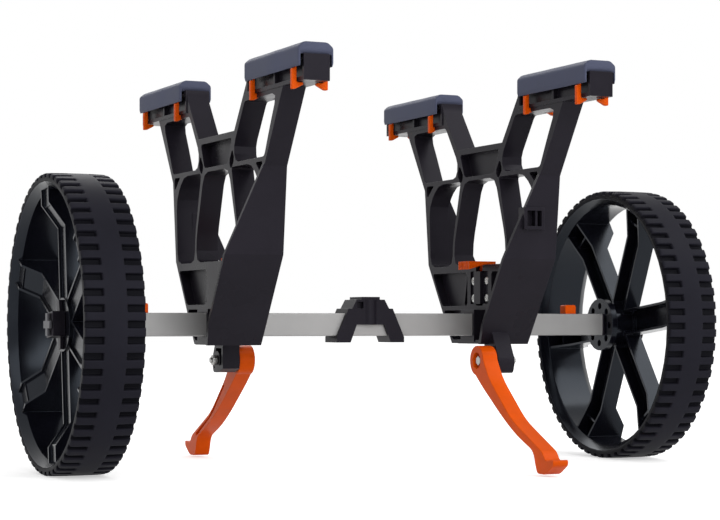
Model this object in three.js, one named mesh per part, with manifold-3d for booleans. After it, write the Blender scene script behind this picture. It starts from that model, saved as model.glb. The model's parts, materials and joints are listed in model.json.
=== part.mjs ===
// A two-wheeled cart that carries a kayak on two padded bunks.
// Millimetres, +Z up, +X along the axle, origin on the floor under the middle of the axle.
import * as THREE from "three";
import { mergeVertices } from "three/addons/utils/BufferGeometryUtils.js";
import Module from "manifold-3d";

const wasm = await Module();
wasm.setup();

// Driving dimensions of the whole cart
const wheelDiameter = 318;
const wheelWidth = 62;
const trackWidth = 672;
const tubeSide = 25.4;
const tubeWall = 2.5;
const bunkOffsetLeft = 164;
const bunkOffsetRight = 157;
const bunkLength = 516;
const bunkWidth = 25;

// Clearances shared by every seat
const fitGap = 0.3;
const runningGap = 0.7;
const overrun = 2;

const axleHeight = wheelDiameter / 2;
const tubeHalf = tubeSide / 2;
const boreHalf = tubeHalf - tubeWall;
const wheelInner = trackWidth / 2 - wheelWidth / 2;
const wheelOuter = wheelInner + wheelWidth;

// Distance within which two vertices of one solid are the same vertex
const mergeDistance = 1e-4;

// Sizes of the pieces at the ends of the axle
const axleEnd = {
  flangeThick: 2,
  spigotLength: 26,
  shaftRadius: 6,
  capArm: 24,
  capArmWidth: 8,
  capThick: 3,
  cornerRadius: 1.5,
};
const tubeLength = 2 * (wheelInner - runningGap - axleEnd.flangeThick - fitGap);

// The spring-loaded button that lets a wheel off its axle end
const button = {
  offset: 262,
  length: 14,
  width: 13,
  rise: 10.3,
  lipThick: 2,
  lipOverhang: 1.5,
  tongueThick: 3,
  tongueWidth: 8,
  barbLength: 3,
  noseLength: 3,
  travel: 5,
  springRadius: 5,
  springWire: 0.6,
  springTurns: 4,
};

// Wheel and tyre
const rim = {
  seatRadius: 150,
  lipRadius: 145.5,
  barrelRadius: 143,
  lipWidth: 4,
  lipDish: 5,
  segments: 48,
  spokes: 6,
  spokeWidth: 30,
  spokeWall: 2.6,
  dishDepth: 22,
  dishStartRadius: 104,
  dishEndRadius: 128,
  spokeDepth: 20,
  flareStartRadius: 108,
  ribRise: 3,
  hubRadius: 25,
  hubFlangeRadius: 31,
  hubFlangeThick: 7,
  hubBossRadius: 28.5,
  hubBossLength: 10,
  hubBossRise: 2,
  hubBoreRadius: 9.3,
  pocketCount: 8,
  pocketRadius: 4.2,
  pocketCircle: 22,
  pocketDepth: 5,
};
const hubFace = wheelOuter - rim.dishDepth + rim.hubBossRise;
const tyre = {
  lugs: 62,
  lugLength: 19,
  lugShare: 0.6,
  grooveDepth: 5,
};
const hubBlock = { side: 26, length: 13.5, wall: 3.5, barWidth: 14, barSpan: 52, barThick: 3.5 };
const bush = { innerRadius: 6.4, outerRadius: 9 };
const spinDegrees = { right: 24, left: 6 };

// Clip that rides astride the middle of the axle
const saddle = {
  depth: 34.4,
  footOuter: 41,
  footInner: 24.5,
  footDrop: 20,
  footRise: 6,
  shoulderOuter: 27,
  shoulderRise: 18,
  archInner: 17,
  ledgeThick: 5,
  blockBottom: 22.5,
  blockTop: 17,
  blockRise: 28,
  capHalf: 11,
  capRise: 31,
  bossRadius: 9,
  bossProud: 3,
  pocketDepth: 6,
};

// Side profile of a bunk: distances from its centre line, and heights from the axle's centre
const bunk = {
  baseDrop: 22,
  baseHalf: 72,
  kneeHalf: 136.5,
  kneeRise: 72,
  chordHalf: 147,
  chordRise: 163,
  armInset: 58,
  armOverlap: 2,
  crotchHalf: 57,
  crotchReach: 3,
  crotchLift: 14,
  wall: 4.5,
  webThick: 4,
  ledgeRise: 69,
  ledgeThick: 8,
  shelfRise: 22,
  shelfThick: 5,
  columnHalf: 26,
  tunnelHalfLength: 28,
  soleHalfLength: 27,
  tunnelWall: 4,
  flareReach: 39,
  flareTopRise: 166,
  smallRadius: 4,
};

// Cells, chord and pockets of a bunk's truss, measured as the side profile is
const truss = {
  crossbarShare: 0.504,
  crossbarThickShare: 0.098,
  chordTopRise: 172.5,
  chordThick: 4.5,
  armWall: 7.6,
  armRim: 12,
  throatInset: 1.5,
  throatShare: 0.263,
  elbowShare: 0.459,
  footRim: 7.5,
  windowTopHalf: 39.5,
  windowLowHalf: 65,
  windowLowRise: 96,
  sideTopHalf: 48.5,
  sideLowHalf: 69.5,
  sideRim: 6.5,
  shoulderRun: 31,
  shoulderDrop: 24,
  plateTopHalf: 50,
  plateLowHalf: 38,
  knotTopHalf: 51.5,
  knotTopRise: 188,
  knotOuterHalf: 57.5,
  knotOuterRise: 176,
  knotLowHalf: 47.5,
  knotLowRise: 165,
  knotInnerHalf: 41,
  knotInnerRise: 174,
  cellRadius: 13,
  pocketRadius: 3,
  ribStand: 3,
};
const rail = {
  length: 161,
  width: 27.4,
  height: 26,
  topRise: 265,
  flangeThick: 4,
  channelDepth: 5,
  ribThick: 4,
};
const pad = {
  length: 152,
  width: 37.5,
  endInset: 2,
  topThick: 12,
  skirtDrop: 12,
  chamferWidth: 6,
  chamferDrop: 5,
};
const clip = {
  width: 5.5,
  tabThick: 5.2,
  tabRise: 13,
  footThick: 7,
  footReach: 7,
  toeThick: 2.5,
  toeRun: 8.5,
  legThick: 2,
  barThick: 3,
  endShare: 0.12,
};

// Latch that holds a bunk at its place on the axle
const latch = {
  centre: -3.2,
  sliderThick: 10,
  sliderWidth: 16,
  barRise: 27,
  barThick: 6,
  windowWidth: 11.6,
  stopRise: 55,
  stopThick: 6,
  windowRoom: 1,
  tabWidth: 28,
  tabReach: 32.5,
  tabThick: 9.5,
  tabRootThick: 3.5,
  serrations: 7,
  serrationDepth: 0.8,
  pinRadius: 4,
  springRadius: 4.2,
  springWire: 0.6,
  springTurns: 5,
  coverHalf: 22,
  coverBottomRise: 24,
  coverTopRise: 61.5,
  coverThick: 2.1,
  coverRibHalf: 8,
  coverRibProud: 4.9,
  screwHeadRadius: 4.7,
  screwHeadThick: 1.8,
  screwRadius: 2,
  screwLength: 12,
  screwOffset: 16.5,
  screwLowRise: 30.5,
  screwHighRise: 50.5,
  holePitch: 25,
};

// Folding kickstand: distances out from the bunk's centre line, and drops from the axle's centre
const stand = {
  pivotOut: 82,
  pivotDrop: 40,
  headRadius: 16.5,
  footOut: 258,
  footLift: 2.5,
  thick: 18,
  lugThick: 20,
  lugInset: 17.5,
  lugInnerOut: 62,
  lugOuterOut: 98,
  lugTopDrop: 7,
  lugBottomDrop: 54,
  lugPocket: 12,
  washerThick: 1.4,
  washerRadius: 11,
  boltRadius: 3,
  boltHeadRadius: 5.5,
  boltHeadThick: 5,
  boreDepth: 7,
  boreRadius: 9,
  nutRadius: 5.8,
  nutThick: 6,
  boltEnd: 2,
  grooveDepth: 3,
  bendRadius: 22,
  footRadius: 4,
};

// Hooded strap pocket in the flared side of a bunk
const strapPocket = {
  outer: 31,
  inner: 6,
  bottomRise: 104,
  topRise: 128,
  wall: 3.5,
  proud: 3,
  ribOut: 14,
  ribThick: 2.5,
};

const finish = {
  plastic: new THREE.MeshStandardMaterial({ color: 0x1c1b1f, roughness: 0.5, metalness: 0 }),
  rimPlastic: new THREE.MeshStandardMaterial({ color: 0x141418, roughness: 0.32, metalness: 0 }),
  tyreRubber: new THREE.MeshStandardMaterial({ color: 0x1d1d22, roughness: 0.65, metalness: 0 }),
  padFoam: new THREE.MeshStandardMaterial({ color: 0x2b2e35, roughness: 0.75, metalness: 0 }),
  orange: new THREE.MeshStandardMaterial({ color: 0xf26a1b, roughness: 0.42, metalness: 0 }),
  aluminium: new THREE.MeshStandardMaterial({ color: 0x9c9b9a, roughness: 0.35, metalness: 1 }),
  steel: new THREE.MeshStandardMaterial({ color: 0xb4b4b2, roughness: 0.3, metalness: 1 }),
  greyPlastic: new THREE.MeshStandardMaterial({ color: 0x77777a, roughness: 0.5, metalness: 0 }),
};

// A closed geometry as a solid, and back again
function solid(geometry) {
  const bare = geometry.clone();
  bare.deleteAttribute("normal");
  bare.deleteAttribute("uv");
  const merged = mergeVertices(bare, mergeDistance);
  const vertProperties = new Float32Array(merged.attributes.position.array);
  const triVerts = new Uint32Array(merged.index.array);
  return new wasm.Manifold(new wasm.Mesh({ numProp: 3, vertProperties, triVerts }));
}

function geometryOf(body) {
  const { vertProperties, triVerts } = body.getMesh();
  const geometry = new THREE.BufferGeometry();
  geometry.setAttribute("position", new THREE.BufferAttribute(new Float32Array(vertProperties), 3));
  geometry.setIndex(new THREE.BufferAttribute(new Uint32Array(triVerts), 1));
  geometry.computeVertexNormals();
  return geometry;
}

const join = (...bodies) => bodies.reduce((whole, body) => whole.add(body));
const cut = (body, ...tools) => tools.reduce((left, tool) => left.subtract(tool), body);

// A box given by its low and high corner
function block(low, high) {
  const size = high.map((value, axis) => value - low[axis]);
  const geometry = new THREE.BoxGeometry(...size);
  geometry.translate(...low.map((value, axis) => value + size[axis] / 2));
  return solid(geometry);
}

// A shape whose corners are rounded; a corner is [a, b] or [a, b, its own radius]
function outline(corners, radius = 0) {
  const path = new THREE.Shape();
  const points = corners.map(([a, b]) => new THREE.Vector2(a, b));
  points.forEach((corner, index) => {
    const before = points[(index + points.length - 1) % points.length];
    const after = points[(index + 1) % points.length];
    const wanted = corners[index][2] ?? radius;
    const room = Math.min(corner.distanceTo(before), corner.distanceTo(after)) / 2;
    const size = Math.min(wanted, room);
    const start = corner.clone().lerp(before, size / corner.distanceTo(before));
    const end = corner.clone().lerp(after, size / corner.distanceTo(after));
    if (index === 0) path.moveTo(start.x, start.y);
    else path.lineTo(start.x, start.y);
    if (size > 0) path.quadraticCurveTo(corner.x, corner.y, end.x, end.y);
  });
  path.closePath();
  return path;
}

// A side outline (out, up) carried along X, with windows cut through it
function slabX(shape, from, to, steps = 3) {
  const geometry = new THREE.ExtrudeGeometry(shape, {
    depth: to - from,
    bevelEnabled: false,
    curveSegments: steps,
  });
  const axes = [new THREE.Vector3(0, 1, 0), new THREE.Vector3(0, 0, 1), new THREE.Vector3(1, 0, 0)];
  geometry.applyMatrix4(new THREE.Matrix4().makeBasis(...axes));
  geometry.translate(from, 0, 0);
  return solid(geometry);
}

// A front outline (along, up) carried along Y
function slabY(shape, from, to, steps = 3) {
  const geometry = new THREE.ExtrudeGeometry(shape, {
    depth: to - from,
    bevelEnabled: false,
    curveSegments: steps,
  });
  geometry.rotateX(Math.PI / 2);
  geometry.translate(0, to, 0);
  return solid(geometry);
}

// A turned piece about an axis parallel to X; the profile is [along, radius] and closes on itself
function turnedX(profile, segments, out = 0, up = 0) {
  const loop = [...profile, profile[0]].reverse();
  const points = loop.map(([along, radius]) => new THREE.Vector2(radius, along));
  const geometry = new THREE.LatheGeometry(points, segments);
  geometry.rotateZ(-Math.PI / 2);
  geometry.translate(0, out, up);
  return solid(geometry);
}

function rodX(radius, from, to, out = 0, up = 0, segments = 16) {
  const geometry = new THREE.CylinderGeometry(radius, radius, to - from, segments);
  geometry.rotateZ(-Math.PI / 2);
  geometry.translate((from + to) / 2, out, up);
  return solid(geometry);
}

function rodZ(radius, from, to, along = 0, out = 0, segments = 16) {
  const geometry = new THREE.CylinderGeometry(radius, radius, to - from, segments);
  geometry.rotateX(Math.PI / 2);
  geometry.translate(along, out, (from + to) / 2);
  return solid(geometry);
}

// A compression spring: one wire wound round +Z from one height to another
function coil(radius, wire, turns, from, to) {
  const stepsPerTurn = 8;
  const sides = 4;
  const rings = turns * stepsPerTurn;
  const positions = [];
  const faces = [];
  for (let ring = 0; ring <= rings; ring += 1) {
    const angle = (ring / stepsPerTurn) * 2 * Math.PI;
    const height = from + wire + ((to - from - 2 * wire) * ring) / rings;
    for (let side = 0; side < sides; side += 1) {
      const roll = (side / sides) * 2 * Math.PI;
      const reach = radius + wire * Math.cos(roll);
      positions.push(reach * Math.cos(angle), reach * Math.sin(angle), height + wire * Math.sin(roll));
      if (ring === rings) continue;
      const here = ring * sides + side;
      const next = ring * sides + ((side + 1) % sides);
      faces.push(here, here + sides, next, next, here + sides, next + sides);
    }
  }
  const last = rings * sides;
  faces.push(0, 1, 2, 0, 2, 3, last, last + 2, last + 1, last, last + 3, last + 2);
  const geometry = new THREE.BufferGeometry();
  geometry.setAttribute("position", new THREE.Float32BufferAttribute(positions, 3));
  geometry.setIndex(faces);
  return geometry;
}

function piece(parent, name, body, material, along = 0, out = 0, up = 0) {
  const geometry = body.isBufferGeometry ? body : geometryOf(body);
  const mesh = new THREE.Mesh(geometry, material);
  mesh.name = name;
  mesh.position.set(along, out, up);
  parent.add(mesh);
  return mesh;
}

// Square axle tube with button windows near its ends and latch holes under each bunk
function axleTube() {
  const half = tubeLength / 2;
  const corners = (side) => [[-side, -side], [side, -side], [side, side], [-side, side]];
  const tube = slabX(outline(corners(tubeHalf), axleEnd.cornerRadius), -half, half, 2);
  const bore = slabX(outline(corners(boreHalf)), -half - overrun, half + overrun);
  const windowHalf = button.length / 2 + fitGap;
  const windowSide = button.width / 2 + fitGap;
  const windows = [-1, 1].map((side) => block(
    [side * button.offset - windowHalf, -windowSide, boreHalf - overrun],
    [side * button.offset + windowHalf, windowSide, tubeHalf + overrun],
  ));
  const places = [bunkOffsetRight + latch.centre, -bunkOffsetLeft - latch.centre];
  const holes = places.flatMap((place) => [-2, -1, 0, 1, 2].map((step) => rodZ(
    latch.pinRadius + fitGap, boreHalf - overrun, tubeHalf + overrun, place + step * latch.holePitch, 0, 10,
  )));
  return cut(tube, bore, ...windows, ...holes);
}

// Heights and places inside the tube that the button and the plug share
const plugStart = wheelInner - runningGap - axleEnd.flangeThick - axleEnd.spigotLength;
const lipTop = boreHalf - fitGap;
const lipBottom = lipTop - button.lipThick;
const noseEnd = plugStart + button.noseLength;
const barbStart = noseEnd + fitGap;
const barbEnd = barbStart + button.barbLength;
const noseBottom = lipTop - button.travel + fitGap;
const tongueTop = noseBottom - fitGap;
const tongueBottom = tongueTop - button.tongueThick;

function axlePlug() {
  const half = boreHalf - fitGap;
  const end = wheelInner - runningGap;
  const spigot = block([plugStart, -half, -half], [end - overrun / 2, half, half]);
  const flange = block(
    [end - axleEnd.flangeThick, -tubeHalf, -tubeHalf],
    [end, tubeHalf, tubeHalf],
  );
  const shaftBore = rodX(axleEnd.shaftRadius + fitGap, barbEnd + fitGap, end + overrun, 0, 0, 20);
  const slotHalf = button.tongueWidth / 2 + fitGap;
  const slotEnd = barbEnd + fitGap;
  const tongueSlot = block(
    [plugStart - overrun, -slotHalf, tongueBottom - button.travel - fitGap],
    [slotEnd, slotHalf, noseBottom],
  );
  const barbPocket = block([noseEnd, -slotHalf, 0], [slotEnd, slotHalf, half + overrun]);
  return cut(join(spigot, flange), shaftBore, tongueSlot, barbPocket);
}

function stubShaft() {
  const start = barbEnd + 2 * fitGap;
  const end = hubFace + hubBlock.length + fitGap;
  return rodX(axleEnd.shaftRadius, start, end, 0, 0, 20);
}

// Plus-shaped cap that keeps the wheel on its shaft
function stubEndCap() {
  const start = hubFace + hubBlock.length + 2 * fitGap;
  const arm = axleEnd.capArm / 2;
  const width = axleEnd.capArmWidth / 2;
  const upright = block([start, -width, -arm], [start + axleEnd.capThick, width, arm]);
  const across = block([start, -arm, -width], [start + axleEnd.capThick, arm, width]);
  return join(upright, across);
}

function releaseButton() {
  const half = button.length / 2;
  const side = button.width / 2;
  const lip = button.lipOverhang;
  const crown = outline([
    [button.offset - half, lipBottom],
    [button.offset + half, lipBottom],
    [button.offset + half, tubeHalf + button.rise, button.lipThick],
    [button.offset - half, tubeHalf + button.rise, button.lipThick],
  ]);
  const tongueSide = button.tongueWidth / 2;
  const barbTop = noseBottom + button.travel - 2 * fitGap;
  return join(
    slabY(crown, -side, side),
    block(
      [button.offset - half - lip, -side - lip, lipBottom],
      [button.offset + half + lip, side + lip, lipTop],
    ),
    block([button.offset, -tongueSide, tongueBottom], [barbEnd, tongueSide, tongueTop]),
    block([button.offset, -tongueSide, tongueBottom], [button.offset + half, tongueSide, lipTop]),
    block([barbStart, -tongueSide, tongueBottom], [barbEnd, tongueSide, barbTop]),
  );
}

// Bent channel spoke standing on +Z: two walls, a floor, and a bulkhead at the rim
function spoke() {
  const outer = wheelOuter - rim.lipDish;
  const dish = wheelOuter - rim.dishDepth;
  const inner = dish - rim.spokeDepth;
  const root = rim.hubRadius - 3 * rim.spokeWall;
  const seat = rim.lipRadius + overrun / 2;
  const wallShape = outline([
    [inner, root],
    [dish, root],
    [dish, rim.dishStartRadius],
    [outer, rim.dishEndRadius],
    [outer, seat],
    [wheelInner + rim.lipDish + rim.lipWidth, seat],
    [inner, rim.flareStartRadius],
  ]);
  const half = rim.spokeWidth / 2;
  const wall = rim.spokeWall;
  const sink = rim.ribRise;
  const floorShape = outline([
    [dish - sink - wall, root],
    [dish - sink, root],
    [dish - sink, rim.dishStartRadius],
    [outer - sink, rim.dishEndRadius],
    [outer - sink, seat],
    [outer - sink - wall, seat],
    [outer - sink - wall, rim.dishEndRadius + wall / 2],
    [dish - sink - wall, rim.dishStartRadius + wall / 2],
  ]);
  const floor = slabY(floorShape, -half + wall / 2, half - wall / 2);
  const bulkhead = block(
    [inner, -half + wall / 2, rim.dishEndRadius - wall],
    [outer - sink, half - wall / 2, rim.dishEndRadius],
  );
  return join(
    slabY(wallShape, half - wall, half),
    slabY(wallShape, -half, wall - half),
    floor,
    bulkhead,
  );
}

function wheelRim() {
  const lipEnd = rim.lipDish + rim.lipWidth;
  const barrel = turnedX([
    [wheelInner, rim.seatRadius],
    [wheelInner + rim.lipDish, rim.lipRadius],
    [wheelInner + lipEnd, rim.barrelRadius],
    [wheelOuter - lipEnd, rim.barrelRadius],
    [wheelOuter - rim.lipDish, rim.lipRadius],
    [wheelOuter, rim.seatRadius],
  ], rim.segments);
  const hub = turnedX([
    [wheelInner, rim.hubBoreRadius],
    [hubFace, rim.hubBoreRadius],
    [hubFace, rim.hubBossRadius],
    [hubFace - rim.hubBossLength, rim.hubBossRadius],
    [hubFace - rim.hubBossLength, rim.hubRadius],
    [wheelInner + rim.hubFlangeThick, rim.hubRadius],
    [wheelInner + rim.hubFlangeThick, rim.hubFlangeRadius],
    [wheelInner, rim.hubFlangeRadius],
  ], rim.segments / 2);
  const hubBore = rodX(rim.hubBoreRadius, wheelInner - overrun, hubFace + overrun, 0, 0, rim.segments / 2);
  const arm = spoke();
  const turns = Array.from({ length: rim.spokes }, (_, index) => (360 * index) / rim.spokes);
  const arms = turns.map((turn) => arm.rotate([turn, 0, 0]));
  const pockets = Array.from({ length: rim.pocketCount }, (_, index) => {
    const angle = (2 * Math.PI * (index + 0.5)) / rim.pocketCount;
    return rodX(
      rim.pocketRadius, wheelInner - overrun, wheelInner + rim.pocketDepth,
      rim.pocketCircle * Math.cos(angle), rim.pocketCircle * Math.sin(angle), 8,
    );
  });
  return cut(join(barrel, hub, ...arms), hubBore, ...pockets);
}

// Tread outline: lugs round the wheel, with grooves between them down to a root radius
function treadOutline(root) {
  const top = wheelDiameter / 2;
  const pitch = (2 * Math.PI) / tyre.lugs;
  const corners = Array.from({ length: tyre.lugs }, (_, lug) => {
    const start = (lug - tyre.lugShare / 2) * pitch;
    const end = start + tyre.lugShare * pitch;
    const crown = [[start, top], [end, top]];
    return root < top ? [[start, root], ...crown, [end, root]] : crown;
  }).flat();
  return outline(corners.map(([angle, radius]) => [radius * Math.sin(angle), -radius * Math.cos(angle)]));
}

// Moulded tyre: two edge rows of lugs beside a smooth middle band
function wheelTyre() {
  const top = wheelDiameter / 2;
  const lugs = slabX(treadOutline(top - tyre.grooveDepth), wheelInner, wheelOuter);
  const band = slabX(treadOutline(top), wheelInner + tyre.lugLength, wheelOuter - tyre.lugLength);
  const seat = rim.seatRadius + fitGap;
  const bore = rodX(seat, wheelInner - overrun, wheelOuter + overrun, 0, 0, rim.segments);
  return cut(join(lugs, band), bore);
}

// Square hub block with a tapered bar behind it, fixed to the wheel over its shaft
function wheelHubBlock() {
  const start = hubFace + fitGap;
  const end = hubFace + hubBlock.length;
  const half = hubBlock.side / 2;
  const bar = outline([
    [-hubBlock.barWidth / 2, 0],
    [-hubBlock.barWidth / 4, -hubBlock.barSpan / 2],
    [hubBlock.barWidth / 4, -hubBlock.barSpan / 2],
    [hubBlock.barWidth / 2, 0],
    [hubBlock.barWidth / 4, hubBlock.barSpan / 2],
    [-hubBlock.barWidth / 4, hubBlock.barSpan / 2],
  ]);
  const body = join(
    block([start, -half, -half], [end, half, half]),
    slabX(bar, start, start + hubBlock.barThick),
  );
  const hollow = rodX(half - hubBlock.wall, start - overrun, end - hubBlock.wall, 0, 0, 20);
  return cut(body, hollow, rodX(bush.innerRadius, start, end + overrun, 0, 0, 20));
}

function hubBush() {
  const start = wheelInner + fitGap;
  const end = hubFace - fitGap;
  return turnedX([
    [start, bush.innerRadius],
    [end, bush.innerRadius],
    [end, bush.outerRadius],
    [start, bush.outerRadius],
  ], 20);
}

function centreSaddle() {
  const foot = -saddle.footDrop;
  const top = saddle.capRise;
  const halfDepth = saddle.depth / 2;
  const mirror = (points) => [...points, ...points.map(([along, up]) => [-along, up]).reverse()];
  const body = slabY(outline(mirror([
    [saddle.archInner, 0],
    [saddle.footInner, foot],
    [saddle.footOuter, foot],
    [saddle.footOuter, foot + saddle.footRise],
    [saddle.shoulderOuter, saddle.shoulderRise],
    [saddle.blockBottom, saddle.shoulderRise],
    [saddle.blockTop, saddle.blockRise],
    [saddle.capHalf, saddle.blockRise],
    [saddle.capHalf, top],
  ])), -halfDepth, halfDepth);
  const half = tubeHalf + fitGap;
  const reach = saddle.footOuter + overrun;
  const passage = block([-reach, -half, -half], [reach, half, half]);
  const bossOut = halfDepth - saddle.bossRadius + saddle.bossProud;
  const bosses = [-1, 1].map((side) => rodZ(saddle.bossRadius, 0, saddle.blockRise, 0, side * bossOut, 16));
  const pocketTop = saddle.blockRise - saddle.ledgeThick / 2;
  const pockets = [-1, 1].map((side) => block(
    [-saddle.blockTop, side * halfDepth - saddle.pocketDepth, saddle.shoulderRise],
    [-saddle.bossRadius, side * halfDepth + saddle.pocketDepth, pocketTop],
  ));
  return cut(join(body, ...bosses), passage, ...pockets);
}

// Heights that the bunk shares with its rails, pads and clips
const railOuterHalf = bunkLength / 2;
const railInnerHalf = railOuterHalf - rail.length;
const railBottom = rail.topRise - rail.height;
const padInnerHalf = railOuterHalf - pad.endInset - pad.length;
const armHalf = railOuterHalf - bunk.armInset;
const armInnerHalf = railInnerHalf - bunk.crotchReach;
const chordUnder = truss.chordTopRise - truss.chordThick;
const trussHeight = railBottom - truss.chordTopRise;
const crossbarRise = truss.chordTopRise + truss.crossbarShare * trussHeight;
const crossbarUnder = crossbarRise - truss.crossbarThickShare * trussHeight;

// Distance out of an arm's outer line, and of the line up the cradle's side, at a height
const armSlope = (armHalf - bunk.chordHalf) / (railBottom - bunk.chordRise);
const armLine = (up) => bunk.chordHalf + armSlope * (up - bunk.chordRise);
const cradleSlope = (armInnerHalf - bunk.crotchHalf) / (railBottom + bunk.crotchLift - crossbarRise);
const cradleLine = (up) => bunk.crotchHalf + cradleSlope * (up - crossbarRise);

// A row of points as it is, and mirrored across the centre line
function bothSides(points) {
  return [1, -1].map((side) => points.map(([out, up, radius]) => [side * out, up, radius]));
}

// Cells of the truss that go right through
function trussWindows() {
  const wall = bunk.wall;
  const cellTop = railBottom - wall;
  const rim = bunk.chordHalf - truss.sideRim;
  const elbowRise = truss.chordTopRise + truss.elbowShare * trussHeight;
  const throatRise = truss.chordTopRise + truss.throatShare * trussHeight;
  const throatHalf = bunk.crotchHalf - truss.throatInset;
  const innerWall = truss.armWall * Math.hypot(1, cradleSlope);
  const armCell = [
    [throatHalf + wall, truss.chordTopRise],
    [armLine(truss.chordTopRise) - truss.footRim, truss.chordTopRise, bunk.smallRadius],
    [armLine(elbowRise) - truss.armRim, elbowRise],
    [armHalf - 1.5 * truss.armRim, cellTop],
    [cradleLine(cellTop) + innerWall, cellTop, bunk.smallRadius],
    [throatHalf, throatRise],
  ];
  const sideCell = [
    [truss.sideTopHalf, chordUnder, bunk.smallRadius],
    [rim - truss.shoulderRun, chordUnder],
    [rim - truss.sideRim, chordUnder - truss.shoulderDrop],
    [bunk.kneeHalf - truss.sideRim, bunk.ledgeRise],
    [truss.sideLowHalf, bunk.ledgeRise],
    [truss.sideLowHalf, truss.windowLowRise],
  ];
  const centreWindow = [
    [truss.windowTopHalf, chordUnder],
    [truss.windowLowHalf, truss.windowLowRise],
    [truss.windowLowHalf, bunk.ledgeRise],
    [-truss.windowLowHalf, bunk.ledgeRise],
    [-truss.windowLowHalf, truss.windowLowRise],
    [-truss.windowTopHalf, chordUnder],
  ];
  return [...bothSides(armCell), ...bothSides(sideCell), centreWindow];
}

// Recesses on both faces of the truss that keep a thin web between them
function trussPockets() {
  const wall = bunk.wall;
  const shelf = bunk.shelfRise;
  const ledgeUnder = bunk.ledgeRise - bunk.ledgeThick;
  const slope = (bunk.kneeHalf - bunk.baseHalf) / (bunk.kneeRise + bunk.baseDrop);
  const outerAt = (up) => bunk.baseHalf + slope * (up + bunk.baseDrop) - wall;
  const split = (bunk.columnHalf + bunk.baseHalf) / 2;
  const rim = bunk.chordHalf - wall;
  const namePlate = [
    [truss.plateLowHalf, truss.chordTopRise],
    [truss.plateTopHalf, crossbarUnder],
    [-truss.plateTopHalf, crossbarUnder],
    [-truss.plateLowHalf, truss.chordTopRise],
  ];
  const knot = [
    [truss.knotTopHalf, truss.knotTopRise],
    [truss.knotOuterHalf, truss.knotOuterRise],
    [truss.knotLowHalf, truss.knotLowRise],
    [truss.knotInnerHalf, truss.knotInnerRise],
  ];
  const shoulder = [
    [rim - truss.shoulderRun + 2 * wall, chordUnder],
    [rim, chordUnder],
    [rim - wall / 2, chordUnder - truss.shoulderDrop + 2 * wall],
  ];
  const boxInner = [
    [bunk.columnHalf + wall, ledgeUnder],
    [split - wall, ledgeUnder],
    [split + wall, shelf],
    [bunk.columnHalf + wall, shelf],
  ];
  const boxOuter = [
    [split, ledgeUnder],
    [outerAt(ledgeUnder), ledgeUnder],
    [outerAt(shelf), shelf],
    [split + 2 * wall, shelf],
  ];
  const bay = [
    [tubeHalf + fitGap + bunk.tunnelWall + wall, shelf - bunk.shelfThick],
    [outerAt(shelf - bunk.shelfThick), shelf - bunk.shelfThick],
    [outerAt(wall - bunk.baseDrop), wall - bunk.baseDrop],
    [tubeHalf + fitGap + bunk.tunnelWall + wall, wall - bunk.baseDrop],
  ];
  const boxMouth = [boxInner[0], boxOuter[1], boxOuter[2], boxInner[3]];
  return {
    deep: [namePlate, ...[knot, shoulder, boxInner, boxOuter, bay].flatMap(bothSides)],
    mouths: bothSides(boxMouth),
  };
}

// Blank of the truss: the whole side outline, as wide as the flares, trimmed to its front and rear
function bunkBlank() {
  const half = bunkWidth / 2;
  const reach = half + bunk.flareReach;
  const low = -bunk.baseDrop;
  const side = [
    [bunk.baseHalf, low],
    [bunk.kneeHalf, bunk.kneeRise],
    [bunk.chordHalf, bunk.chordRise],
    [armHalf, railBottom + bunk.armOverlap],
    [railInnerHalf + bunk.wall, railBottom + bunk.armOverlap],
    [railInnerHalf + bunk.wall, rail.topRise - rail.flangeThick / 2],
    [railInnerHalf + fitGap, rail.topRise - rail.flangeThick / 2],
    [armInnerHalf, railBottom + bunk.crotchLift],
    [bunk.crotchHalf, crossbarRise],
  ];
  const shape = outline([...side, ...side.map(([out, up]) => [-out, up]).reverse()]);
  const wide = slabX(shape, -reach, reach);
  const high = rail.topRise;
  const flare = outline([
    [half, low - overrun],
    [half, high + overrun],
    [-half, high + overrun],
    [-half, bunk.flareTopRise],
    [-half - bunk.flareReach, bunk.kneeRise],
    [-half - bunk.flareReach, low + bunk.baseDrop],
    [-half - bunk.flareReach + bunk.wall, low - overrun],
  ]);
  const trim = cut(
    block([-reach - overrun, -railOuterHalf, low - overrun], [reach + overrun, -bunk.columnHalf, high]),
    slabY(flare, -railOuterHalf - overrun, 0),
  );
  return cut(wide, trim, trim.rotate([0, 0, 180]), flareRoom(), flareRoom().rotate([0, 0, 180]));
}

// Space beside the truss between the two flared panels, open at its foot beyond the sole
function flareRoom() {
  const half = bunkWidth / 2;
  const reach = half + bunk.flareReach + overrun;
  const low = -bunk.baseDrop;
  const slope = (bunk.kneeHalf - bunk.baseHalf) / (bunk.kneeRise + bunk.baseDrop);
  const skin = bunk.wall * Math.hypot(1, slope);
  const walls = (foot) => {
    const side = [
      [bunk.baseHalf - skin + slope * (foot - low), foot],
      [bunk.kneeHalf - skin, bunk.kneeRise],
      [bunk.chordHalf - skin, bunk.chordRise],
      [bunk.chordHalf - skin, rail.topRise + overrun],
    ];
    return outline([...side, ...side.map(([out, up]) => [-out, up]).reverse()]);
  };
  const above = slabX(walls(low + bunk.wall), half, reach);
  const beyond = slabX(walls(low - overrun), bunk.soleHalfLength, reach);
  return join(above, beyond);
}

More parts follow.
